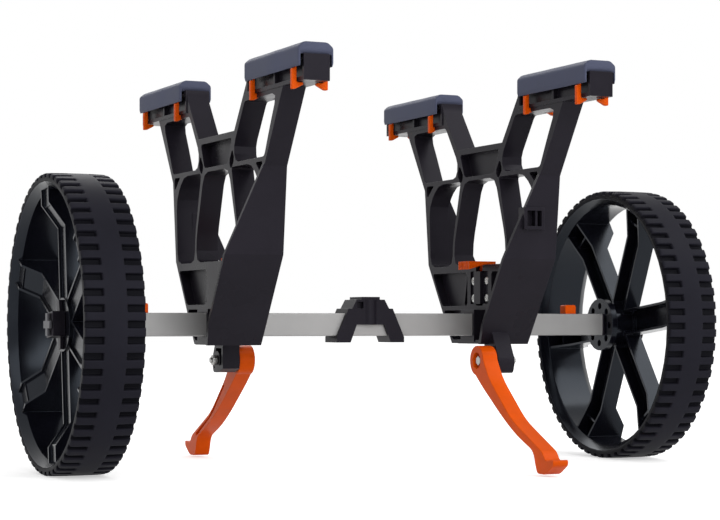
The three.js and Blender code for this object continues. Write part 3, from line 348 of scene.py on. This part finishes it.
def finish(name, colour, wear_and_glint_colour, rough, spread, grain=900.0, grain_height=0.03 * MM, stretch=None,
           drift=14.0, metallic=0.0, specular=0.5, tint=(1.0, 1.0, 1.0), tread=None):
    """A moulded or drawn finish.

    The colour runs between colour and SHADE of it by a broad noise of drift waves to the metre, and to
    the edge colour on edges, which is partly wear and partly a painted glint. The roughness is rough plus
    or minus spread by the same noise. The grain is a fine noise of grain waves to the metre, read as
    height, and stretch draws it out along an axis. tread holds the height of the axle, the radius of the
    crests and their depth; in the grooves below the crests the colour darkens to GROOVE_SHADE of it, a
    painted shade.
    """
    material, tree, output = new_material(name)
    place = tree.nodes.new("ShaderNodeTexCoord").outputs["Object"]
    broad = noise(tree, place, drift, DRIFT_DETAIL, DRIFT_ROUGHNESS)
    fine = noise(tree, place, grain, GRAIN_DETAIL, GRAIN_ROUGHNESS, stretch)
    shader = tree.nodes.new("ShaderNodeBsdfPrincipled")
    shader.inputs["Metallic"].default_value = metallic
    shader.inputs["Specular IOR Level"].default_value = specular
    shader.inputs["Specular Tint"].default_value = (*tint, 1.0)
    shaded = tuple(SHADE * c for c in colour)
    base = mixed(tree, between(tree, broad, *COLOUR_BAND, 0.0, 1.0), shaded, colour)
    if tread is not None:
        # Painted shade: the tyre's colour darkens into the bottoms of its grooves.
        painted_groove_shade = tuple(GROOVE_SHADE * c for c in colour)
        base = mixed(tree, crest_mask(tree, place, *tread), painted_groove_shade, base)
    # Paler edges: partly rubbed wear, partly a painted highlight that glints on them.
    wear_and_glint = maths(tree, "MULTIPLY", edge_mask(tree, WEAR_AND_GLINT_RADIUS, WEAR_AND_GLINT_GAIN),
                 between(tree, broad, *WEAR_AND_GLINT_BAND, LEAST_WEAR_AND_GLINT, 1.0))
    tree.links.new(mixed(tree, wear_and_glint, base, wear_and_glint_colour), shader.inputs["Base Color"])
    sheen = between(tree, broad, *SHEEN_BAND, rough - spread, rough + spread)
    tree.links.new(sheen, shader.inputs["Roughness"])
    relief = tree.nodes.new("ShaderNodeBump")
    relief.inputs["Distance"].default_value = grain_height
    tree.links.new(fine, relief.inputs["Height"])
    tree.links.new(rounded_normal(tree, EDGE_RADIUS), relief.inputs["Normal"])
    tree.links.new(relief.outputs[0], shader.inputs["Normal"])
    tree.links.new(shader.outputs[0], output.inputs["Surface"])
    return material


print("recipe: wear within", round(WEAR_AND_GLINT_RADIUS / MM, 1), "mm of an edge")

# %% [markdown]
# The black parts are of three kinds, and the light tells them apart. The bunks, the saddle and the covers
# are grained and satin. The rims are almost polished, so they have the brightest and bluest streaks, and
# their edges carry a painted glint as well. The tyres are matt. One black for all would be simpler, but
# the parts would melt into each other. The grooves of a tyre get painted shade, a darker colour where
# less light reaches, so that finish also reads how far a point is from the axle.

# %% Black finishes
# Between these radii the tyre's colour darkens into its grooves, a painted shade.
CREST_BELOW = 1.2 * MM  # how far below the tyre's outer radius its full colour starts
CREST_DEPTH = 3.0 * MM  # how much further down its darkest colour starts

tyre_low, tyre_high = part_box("tyre_left")
TREAD = ((tyre_low.z + tyre_high.z) / 2, (tyre_high.z - tyre_low.z) / 2 - CREST_BELOW, CREST_DEPTH)
black_moulding = finish("black_moulding", (0.0135, 0.0118, 0.0165), (0.032, 0.030, 0.040), 0.31, 0.07,
                        specular=0.085, tint=(0.92, 0.9, 1.0))
# The rims' edge colour, far paler than their own, is mostly a painted glint on their edges.
rim_moulding = finish("rim_moulding", (0.0040, 0.0040, 0.0068), (0.034, 0.036, 0.050), 0.21, 0.06,
                      grain_height=0.015 * MM, specular=0.23, tint=(0.74, 0.85, 1.0))
tyre_moulding = finish("tyre_moulding", (0.0135, 0.0130, 0.0185), (0.026, 0.026, 0.034), 0.52, 0.07,
                       grain=700.0, specular=0.05, tint=(0.85, 0.88, 1.0), tread=TREAD)
print("tread's crests at", round(TREAD[1] / MM, 1), "mm from the axle")

# %% [markdown]
# The coloured parts are few, and they are what the eye finds first. Closed-cell foam rubber is slate
# grey, rough and slightly bluish in the light, with a finer and deeper grain than plastic. The orange of
# the handles, buttons, clips and legs is a strong pigment under a weak sheen: a glossy one would turn it
# pink wherever a lamp is mirrored.

# %% Foam, orange and grey finishes
pad_foam = finish("pad_foam", (0.069, 0.076, 0.122), (0.104, 0.114, 0.158), 0.60, 0.08, grain=1400.0,
                  grain_height=0.05 * MM, specular=0.15, tint=(0.85, 0.9, 1.0))
orange_moulding = finish("orange_moulding", (0.74, 0.088, 0.0015), (0.82, 0.14, 0.010), 0.38, 0.06,
                         specular=0.07)
grey_moulding = finish("grey_moulding", (0.09, 0.09, 0.10), (0.2, 0.2, 0.21), 0.42, 0.07, specular=0.2)
print("foam, orange and grey: ready")

# %% [markdown]
# The axle is drawn aluminium tube, so its grain runs along it. A metal shader could do that with
# anisotropy. Here the fine noise is stretched along X instead, which gives the lines themselves, and a
# part of the colour stays matt, as on an anodised tube. The screws, bolts and shafts are zinc plated
# steel, all metal, with a quicker drift.

# %% Metal finishes
satin_aluminium = finish("satin_aluminium", (0.34, 0.336, 0.334), (0.42, 0.42, 0.42), 0.5, 0.05,
                         grain=260.0, grain_height=0.02 * MM, stretch=(0.02, 9.0, 9.0), drift=6.0,
                         metallic=0.35)
zinc_steel = finish("zinc_steel", (0.42, 0.42, 0.41), (0.6, 0.6, 0.59), 0.32, 0.08, drift=90.0,
                    metallic=1.0)
print("aluminium and steel: ready")

# %% [markdown]
# The record gives each CAD node a material slot. Assigning finishes by slot, and not node by node, keeps
# left and right alike and leaves nothing out. The new pieces further down take their finish from the same
# table.

# %% Finishes of the CAD nodes
FINISH_OF_SLOT = {
    "plastic": black_moulding, "rim_plastic": rim_moulding, "tyre": tyre_moulding, "pad": pad_foam,
    "orange": orange_moulding, "aluminium": satin_aluminium, "steel": zinc_steel,
    "grey_plastic": grey_moulding,
}
record = frame["record"]
slot_of = {row["node"]: row["material_slot"] for row in record["subparts"]}
body_of = {node: body for body, members in record["behaviour"]["bodies"].items() for node in members}
for name, node in nodes.items():
    node.data.materials.clear()
    node.data.materials.append(FINISH_OF_SLOT[slot_of[name]])
print("finishes:", len(FINISH_OF_SLOT), "on", len(nodes), "nodes")

# %% [markdown]
# A new piece has to move with the cart's joints and must not lie inside the solid that it stands for. So
# each one is told its slot, the body it rides on and the CAD nodes it replaces, which are then hidden.
# One helper does all three, so that none can be forgotten.

# %% New pieces
def link_piece(name, mesh, slot, body, *replaced):
    """Puts a mesh in the scene as a piece that rides on a body and stands for the CAD nodes named."""
    mesh.materials.clear()
    mesh.materials.append(FINISH_OF_SLOT[slot])
    piece = bpy.data.objects.new(name, mesh)
    bpy.context.scene.collection.objects.link(piece)
    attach(piece, body)
    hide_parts(*replaced)
    return piece


print("bodies that pieces can ride on:", len(set(body_of.values())))

# %% [markdown]
# The solids have sharp edges, but a tool always leaves small radii, and those catch the light. Rounding
# them in the CAD model would cost thousands of faces in the simulation. So a copy of each solid is
# merged, its flat faces are joined up, and a bevel rounds every edge that turns by more than a limit.
# Normals weighted by face area then keep the flats flat and the curved walls smooth.

# %% Softened mouldings
WELD = 0.02 * MM
FLAT_ANGLE = math.radians(0.6)
EDGE_ANGLE = math.radians(25.0)
EDGE_SEGMENTS = 2
EDGE_WIDTHS = {  # millimetres, by the kind of piece
    "bunk_frame": 0.7, "wheel_rim": 0.5, "hub_block": 0.9, "centre_saddle": 1.1, "latch_cover": 0.5,
    "latch_handle": 0.5, "release_button": 0.8, "kickstand_leg": 1.2, "kickstand_bolt": 0.5,
    "kickstand_nut": 0.5, "kickstand_washer": 0.25, "pad_clip": 0.9, "stub_end_cap": 0.7, "axle_tube": 0.4,
    "axle_plug": 0.3,
}


def softened(node, width):
    """A copy of a CAD solid with rounded edges: welded, its coplanar triangles dissolved, then bevelled."""
    mesh = nodes[node].data.copy()
    work = bmesh.new()
    work.from_mesh(mesh)
    bmesh.ops.remove_doubles(work, verts=work.verts, dist=WELD)
    bmesh.ops.dissolve_limit(work, angle_limit=FLAT_ANGLE, verts=work.verts, edges=work.edges)
    for face in work.faces:
        face.smooth = True
    work.to_mesh(mesh)
    work.free()
    piece = link_piece(f"{node}_moulding", mesh, slot_of[node], body_of[node], node)
    bevel = piece.modifiers.new("rounded_edges", "BEVEL")
    bevel.width = width
    bevel.segments = EDGE_SEGMENTS
    bevel.limit_method = "ANGLE"
    bevel.angle_limit = EDGE_ANGLE
    weighted = piece.modifiers.new("face_normals", "WEIGHTED_NORMAL")
    weighted.keep_sharp = True
    return piece


pieces = [softened(node, width * MM) for node in sorted(nodes) for stem, width in EDGE_WIDTHS.items()
          if node.startswith(stem)]
print("softened mouldings:", len(pieces))

# %% [markdown]
# The next pieces are surfaces worked out from scratch. Each is a loft: a closed section, given as an
# array of points, is carried through a row of stations, and neighbouring points are joined by quads.
# Blender could loft curves too, but arrays give each point its own rule, such as a groove that cuts only
# part of a tyre's section.

# %% Lofts
CORNER_STEPS = 5


def rounded_section(corners):
    """A closed section with rounded corners, CORNER_STEPS points to each.

    Each corner is (a, b, radius). The corner is a quadratic Bezier curve: it starts a radius before the
    corner, ends a radius after it, and has the corner itself as its middle control point.
    """
    points, radii = corners[:, :2], corners[:, 2:]
    before, after = np.roll(points, 1, axis=0) - points, np.roll(points, -1, axis=0) - points
    before /= np.linalg.norm(before, axis=1, keepdims=True)
    after /= np.linalg.norm(after, axis=1, keepdims=True)
    t = np.linspace(0.0, 1.0, CORNER_STEPS)[None, :, None]
    start, end = (points + before * radii)[:, None], (points + after * radii)[:, None]
    curve = (1 - t) ** 2 * start + 2 * t * (1 - t) * points[:, None] + t ** 2 * end
    return curve.reshape(-1, 2)


def loft_mesh(name, rings, closed_path=False):
    """A mesh through rings, an array (stations, points, 3) of closed loops; one face caps each open end."""
    stations, count = rings.shape[:2]
    here = np.arange(stations * count).reshape(stations, count)
    if closed_path:
        first, second = here, np.roll(here, -1, axis=0)
    else:
        first, second = here[:-1], here[1:]
    quads = np.stack([first, np.roll(first, -1, axis=1), np.roll(second, -1, axis=1), second], axis=-1)
    faces = quads.reshape(-1, 4).tolist()
    if not closed_path:
        faces += [here[0][::-1].tolist(), here[-1].tolist()]
    mesh = bpy.data.meshes.new(name)
    mesh.from_pydata(rings.reshape(-1, 3).tolist(), [], faces)
    work = bmesh.new()
    work.from_mesh(mesh)
    bmesh.ops.recalc_face_normals(work, faces=work.faces)
    for face in work.faces:
        face.smooth = True
    work.to_mesh(mesh)
    work.free()
    return mesh


print("lofts:", CORNER_STEPS, "points to a rounded corner")

# %% [markdown]
# A tyre on this cart is one firm moulding with square lugs in both edge rows and a smooth band between
# them. Lugs could be boxes set round a ring, but then every joint would show. Here the tyre is one
# section carried round the wheel. It climbs the side wall, rounds the shoulder and crosses a slightly
# crowned tread, and each of its points also has a weight, which says how far the grooves may cut there.

# %% Section of a tyre
LUG_ROW = 19.0 * MM  # how wide a row of lugs is
SEAT_DEPTH = 8.7 * MM  # from the tread down to the rim
CROWN = 0.5 * MM  # how much lower the tread is at its edges
SHOULDER_RADIUS = 2.4 * MM
SHOULDER_POINTS = 5
WALL_SHARE = 0.35  # the part of the wall below the grooves
WALL_TOP = 3.4 * MM  # below the tread
ROW_INSET = 3.8 * MM  # from the tyre's side to the first point on a row's flat
ROW_SHY = 1.4 * MM  # from the last one to the row's end
ROW_POINTS = 5
MIDDLE_INSET = 4.0 * MM  # from the row's end to the first point of the smooth band
MIDDLE_POINTS = 3
SLOPE = ((-0.7, 0.93), (-0.2, 0.65), (0.2, 0.25), (0.7, 0.05), (1.4, 0.0))  # mm from the row's end, weight


def tyre_section(half, top, seat):
    """An array (points, 3) of (x, radius, groove weight) from one seat edge, over the tread, to the other.

    The shoulder is a quarter of a circle. The tread's radius is top less CROWN times the square of x over
    half. The second half is the first one mirrored.
    """
    wall = np.array([(-half, seat, 0.0), (-half, seat + WALL_SHARE * (top - seat), 0.0),
                     (-half, top - WALL_TOP, 1.0)])
    turn = np.linspace(0.0, math.pi / 2, SHOULDER_POINTS)
    shoulder = np.stack([-half + SHOULDER_RADIUS * (1 - np.cos(turn)),
                         top - CROWN - SHOULDER_RADIUS * (1 - np.sin(turn)), np.ones_like(turn)], axis=1)
    row_end = -half + LUG_ROW
    slope, slope_weight = np.array(SLOPE).T
    x = np.concatenate([np.linspace(-half + ROW_INSET, row_end - ROW_SHY, ROW_POINTS), row_end + slope * MM,
                        np.linspace(row_end + MIDDLE_INSET, 0.0, MIDDLE_POINTS)])
    weight = np.concatenate([np.ones(ROW_POINTS), slope_weight, np.zeros(MIDDLE_POINTS)])
    tread = np.stack([x, top - CROWN * (x / half) ** 2, weight], axis=1)
    left = np.concatenate([wall, shoulder, tread])
    return np.concatenate([left, left[-2::-1] * (-1.0, 1.0, 1.0)])


print("tyre section: rows of lugs", round(LUG_ROW / MM, 1), "mm wide, seat", round(SEAT_DEPTH / MM, 1),
      "mm below the tread")

# %% [markdown]
# Between the lugs the section sinks to a root radius. How far it sinks is a pulse over the angle that
# repeats 62 times round the wheel. A square pulse would make knife edges and a sine would make waves.
# This one has steep but rounded flanks, so every lug has a lit edge and a dark groove beside it, as
# rubber from a tool does. The first lug's place is read from the CAD solid, so that each lug lies where
# the solid's does, to within half a millimetre.

# %% Tyres
LUGS = 62
GROOVE_DEPTH = 5.0 * MM
CREST_BAND = 0.5 * MM  # the solid's points this close below its outer radius are on lugs
# Each pair is a share of a pitch, from a lug's middle to a groove's, and a share of the depth.
HALF_PULSE = ((0.0, 0.0), (0.12, 0.0), (0.22, 0.0), (0.253, 0.05), (0.268, 0.25), (0.282, 0.65),
              (0.3, 0.93), (0.33, 1.0), (0.42, 1.0), (0.5, 1.0))


def lug_angle(node, centre, top):
    """The angle of the middle of one lug of a CAD tyre, where the pulse starts.

    Each corner of a lug's crest is an arrow at its angle times LUGS, so that all lugs' arrows agree. A lug
    is wider than half a pitch, so its corners lie nearer to the grooves, and the arrows' sum points at the
    middle of a groove. Half a pitch further is the middle of a lug. The solid is loose triangles, so a
    corner counts once for each of its triangles, which moves the result by a fortieth of a pitch.
    """
    mesh = nodes[node].data
    places = np.empty(len(mesh.vertices) * 3, np.float32)
    mesh.vertices.foreach_get("co", places)
    places = places.reshape(-1, 3).astype(float)
    y, z = places[:, 1] - centre.y, places[:, 2] - centre.z
    crests = np.arctan2(y, z)[np.hypot(y, z) > top - CREST_BAND]
    return (np.angle(np.exp(1j * LUGS * crests).sum()) + math.pi) / LUGS


def tyre_rings(centre, half, top, phase):
    """Rings of the section round the wheel.

    At each angle, a point's radius is less by the pulse times the point's weight times how far it stands
    above the root radius, so the bottoms of all grooves lie on one cylinder.
    """
    share, pulse = np.array(HALF_PULSE).T
    share = np.concatenate([share, 1 - share[-2:0:-1]])
    pulse = np.concatenate([pulse, pulse[-2:0:-1]])
    turn = ((np.arange(LUGS)[:, None] + share[None, :]) * (2 * math.pi / LUGS)).ravel() + phase
    groove = np.tile(pulse, LUGS)
    x, radius, weight = tyre_section(half, top, top - SEAT_DEPTH).T
    depth = np.maximum(radius - (top - GROOVE_DEPTH), 0.0)
    reach = radius[None, :] - groove[:, None] * (weight * depth)[None, :]
    return np.stack([np.broadcast_to(centre.x + x, reach.shape), centre.y + reach * np.sin(turn)[:, None],
                     centre.z + reach * np.cos(turn)[:, None]], axis=-1)


for label in SIDES:
    node = f"tyre_{label}"
    low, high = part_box(node)
    centre = (low + high) / 2
    half, top = (high.x - low.x) / 2, (high.z - low.z) / 2
    phase = lug_angle(node, centre, top)
    mesh = loft_mesh(f"{node}_tread", tyre_rings(centre, half, top, phase), closed_path=True)
    link_piece(f"{node}_tread", mesh, "tyre", f"wheel_{label}", node)
    print(node, "faces", len(mesh.polygons), "phase", round(math.degrees(phase), 2))

# %% [markdown]
# A pad is a cap of firm foam rubber that drops over its rail. Its section has a flat top, two broad
# chamfers and thin skirts that turn in at the lip. Cloth simulation suits a cushion that sags, but this
# foam keeps the form of its mould, so its section is drawn as it was moulded, from the real walls'
# thicknesses and radii.

# %% Section of a pad
SLOT_HALF = 16.6 * MM  # half of the room for the rail
ROOF_THICKNESS = 12.3 * MM
CHAMFER_ACROSS, CHAMFER_DOWN = 6.2 * MM, 5.2 * MM
LIP_IN, LIP_UP = 1.2 * MM, 3.4 * MM
LIP_ROUND, SKIRT_ROUND, SIDE_ROUND, TOP_ROUND, SLOT_ROUND = 0.3 * MM, 1.2 * MM, 2.2 * MM, 2.8 * MM, 0.8 * MM
SKIN = (0.4, 1, 1, 1, 1, 1, 1, 0.4, 0, 0, 0, 0)  # how far each corner follows where the skin is drawn in


def pad_section(half, drop):
    """The closed section of a pad, from the left lip over the top to the right lip and through the slot."""
    lip = np.array([(-half + LIP_IN, 0.0, LIP_ROUND), (-SLOT_HALF, 0.0, LIP_ROUND)])
    outer = np.array([(-half, LIP_UP, SKIRT_ROUND), (-half, drop - CHAMFER_DOWN, SIDE_ROUND),
                      (-half + CHAMFER_ACROSS, drop, TOP_ROUND)])
    mirror = np.array([-1.0, 1.0, 1.0])
    roof = drop - ROOF_THICKNESS
    slot = np.array([(SLOT_HALF, roof, SLOT_ROUND), (-SLOT_HALF, roof, SLOT_ROUND)])
    corners = [lip[:1], outer, outer[::-1] * mirror, lip * mirror, slot, lip[1:]]
    return rounded_section(np.concatenate(corners))


print("pad section:", len(SKIN) * CORNER_STEPS, "points")

# %% [markdown]
# The section is carried along the pad. A straight loft would end in two sawn faces, so the skin is drawn
# in near each end, which rounds it, while the slot for the rail stays straight. Foam never comes out of
# its mould quite even, so the skin also swells by a fraction of a millimetre in slow waves.

# %% Pads
END_RADIUS = 1.7 * MM
END_POINTS = 6
MIDDLE_MARGIN = 4.0 * MM  # from a pad's end to the first station of its middle
MIDDLE_STATIONS = 22
SWELL = 0.12 * MM
SWELL_TURN = 9.0  # radians of the slow wave along a pad


def pad_rings(low, high):
    """Rings of a pad's section along Y.

    The outer skin is drawn in by r (1 - sin a) at a distance r (1 - cos a) from each end, for a from 0 to
    90 degrees. Between the ends it swells by SWELL times the square of a slow sine of the way along it.
    """
    section = pad_section((high.x - low.x) / 2, high.z - low.z)
    along = np.roll(section, -1, axis=0) - np.roll(section, 1, axis=0)
    normal = np.stack([-along[:, 1], along[:, 0]], axis=1)
    normal /= np.linalg.norm(normal, axis=1, keepdims=True)
    turn = np.linspace(0.0, math.pi / 2, END_POINTS)
    near, inset = END_RADIUS * (1 - np.cos(turn)), END_RADIUS * (1 - np.sin(turn))
    length = high.y - low.y
    middle = np.linspace(MIDDLE_MARGIN, length - MIDDLE_MARGIN, MIDDLE_STATIONS)
    y = np.concatenate([near, middle, length - near[::-1]])
    draw = np.concatenate([inset, -SWELL * np.sin(middle / length * SWELL_TURN) ** 2, inset[::-1]])
    skin = np.repeat(SKIN, CORNER_STEPS)
    spot = section[None] - normal[None] * (draw[:, None] * skin[None, :])[..., None]
    x = (low.x + high.x) / 2 + spot[..., 0]
    return np.stack([x, np.broadcast_to((low.y + y)[:, None], x.shape), low.z + spot[..., 1]], axis=-1)


for label in SIDES:
    for end in ("front", "rear"):
        node = f"pad_{end}_{label}"
        mesh = loft_mesh(f"{node}_foam", pad_rings(*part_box(node)))
        link_piece(f"{node}_foam", mesh, "pad", f"bunk_{label}", node)
        print(node, "faces", len(mesh.polygons))

# %% [markdown]
# Four screws hold each latch cover. Their pan heads are domes with a cross recess. A recess is often cut
# with a boolean, which leaves slivers at its edges. Here it is a function of the place on the head: two
# bars at right angles, deep in the middle and shallow at their ends, taken off the dome's height.

# %% Shape of a screw head
HEAD_HEIGHT = 1.8 * MM
HEAD_SIDES = 64
HEAD_RINGS = (0.02, 0.07, 0.12, 0.17, 0.22, 0.28, 0.34, 0.4, 0.46,
              0.52, 0.58, 0.66, 0.76, 0.86, 0.94, 0.98, 1.0)  # shares of the radius
RIM_SHARE = 0.35  # the part of the height that is a straight rim
DOME_POWER = 2.4
BAR_HALF, BAR_WALL = 0.75 * MM, 0.3 * MM
BAR_REACH, BAR_FADE = 2.9 * MM, 1.1 * MM
RECESS_DEPTH = 1.1 * MM


def bar(across, along):
    """1 inside a bar of the cross and 0 outside, with a ramp at its walls and a longer one at its ends."""
    walls = np.clip((BAR_HALF - np.abs(across)) / BAR_WALL, 0, 1)
    ends = np.clip((BAR_REACH - np.abs(along)) / BAR_FADE, 0, 1)
    return walls * ends


def head_rings(radius):
    """Rings of a pan head round the axis (1, 0, 0), from its middle to its edge.

    The height is that of the rim plus the dome's: the square root of one minus a power of the share of the
    radius. The recess is taken off it.
    """
    share = np.array(HEAD_RINGS)[:, None]
    angle = np.arange(HEAD_SIDES) / HEAD_SIDES * 2 * math.pi
    u, v = radius * share * np.cos(angle), radius * share * np.sin(angle)
    dome = HEAD_HEIGHT * (RIM_SHARE + (1 - RIM_SHARE) * (1 - share ** DOME_POWER) ** 0.5)
    return np.stack([dome - RECESS_DEPTH * np.maximum(bar(u, v), bar(v, u)), u, v], axis=-1)


print("screw head:", len(HEAD_RINGS), "rings of", HEAD_SIDES, "points")

# %% [markdown]
# The CAD model has plain screws, and each gives its head's place and width. Copies of one head would all
# have their crosses in line, which no fitter ever does, so each head is turned further than the one
# before. The four heads of a cover are kept as one piece, because they never move apart.

# %% Screw heads
FIRST_TURN, NEXT_TURN = 0.35, 0.8  # radians


def screw_rings(node, number, facing):
    """A head where a CAD screw's head is, turned about its axis, with a last ring that closes its back."""
    low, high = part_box(node)
    head = head_rings((high.y - low.y) / 2)
    turned = FIRST_TURN + NEXT_TURN * number
    rise, u, v = np.moveaxis(head, -1, 0)
    cosine, sine = math.cos(turned), math.sin(turned)
    head = np.stack([rise, u * cosine - v * sine, u * sine + v * cosine], axis=-1)
    back = head[-1:] * (0.0, 1.0, 1.0)
    seat = (high.x if facing > 0 else low.x) - facing * HEAD_HEIGHT
    middle = np.array([seat, (low.y + high.y) / 2, (low.z + high.z) / 2])
    return np.concatenate([head, back]) * (facing, 1.0, 1.0) + middle


for label, facing in (("left", 1.0), ("right", -1.0)):
    screws = [f"latch_screw_{label}_{k}" for k in (1, 2, 3, 4)]
    work = bmesh.new()
    for number, node in enumerate(screws):
        head = loft_mesh("head", screw_rings(node, number, facing))
        work.from_mesh(head)
        bpy.data.meshes.remove(head)
    mesh = bpy.data.meshes.new(f"latch_screws_{label}")
    work.to_mesh(mesh)
    work.free()
    link_piece(f"latch_screws_{label}", mesh, "steel", f"bunk_{label}", *screws)
    print(f"latch_screws_{label}: {len(screws)} heads, faces", len(mesh.polygons))

# %% [markdown]
# Coil springs hide inside the cart: one over each latch pin, and one under each release button. A spring
# could be a curve with a bevel, but a small circle carried along a helix by the same loft gives a closed
# surface at once. Each spring rides with the body that holds its fixed end, and has a mesh of its own.

# %% Coil springs
SPRING_WIRE = 0.6 * MM  # radius
SPRING_STEPS, SPRING_SIDES = 20, 8


def coil_rings(low, high, turns):
    """Rings of a coil spring that fills a box.

    The path is a helix: a circle round the box's middle, whose height rises in proportion to the angle.
    Each ring is a circle of the wire's radius, in the plane of the Z axis and the point of the path.
    """
    radius = (high.y - low.y) / 2 - SPRING_WIRE
    share = np.linspace(0.0, 1.0, turns * SPRING_STEPS + 1)[:, None]
    angle = 2 * math.pi * turns * share
    roll = np.arange(SPRING_SIDES) / SPRING_SIDES * 2 * math.pi
    reach = radius + SPRING_WIRE * np.cos(roll)
    x = (low.x + high.x) / 2 + reach * np.cos(angle)
    y = (low.y + high.y) / 2 + reach * np.sin(angle)
    z = low.z + SPRING_WIRE + (high.z - low.z - 2 * SPRING_WIRE) * share + SPRING_WIRE * np.sin(roll)
    return np.stack([x, y, z], axis=-1)


def spring(node, body, turns):
    """A coil in a CAD spring's place, riding on body, with a mesh of its own."""
    low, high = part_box(node)
    mesh = loft_mesh(f"{node}_wire", coil_rings(low, high, turns))
    wound = link_piece(f"{node}_wire", mesh, "steel", body, node)
    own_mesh(wound)


for label in SIDES:
    spring(f"latch_spring_{label}", f"bunk_{label}", 5)
    spring(f"button_spring_{label}", "axle", 4)

# %% [markdown]
# The dressed model has to keep the solids' size, so the box round everything it shows is measured and
# printed.

# %% Size
low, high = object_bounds()
print("visual size", [round(v, 4) for v in (high - low)])
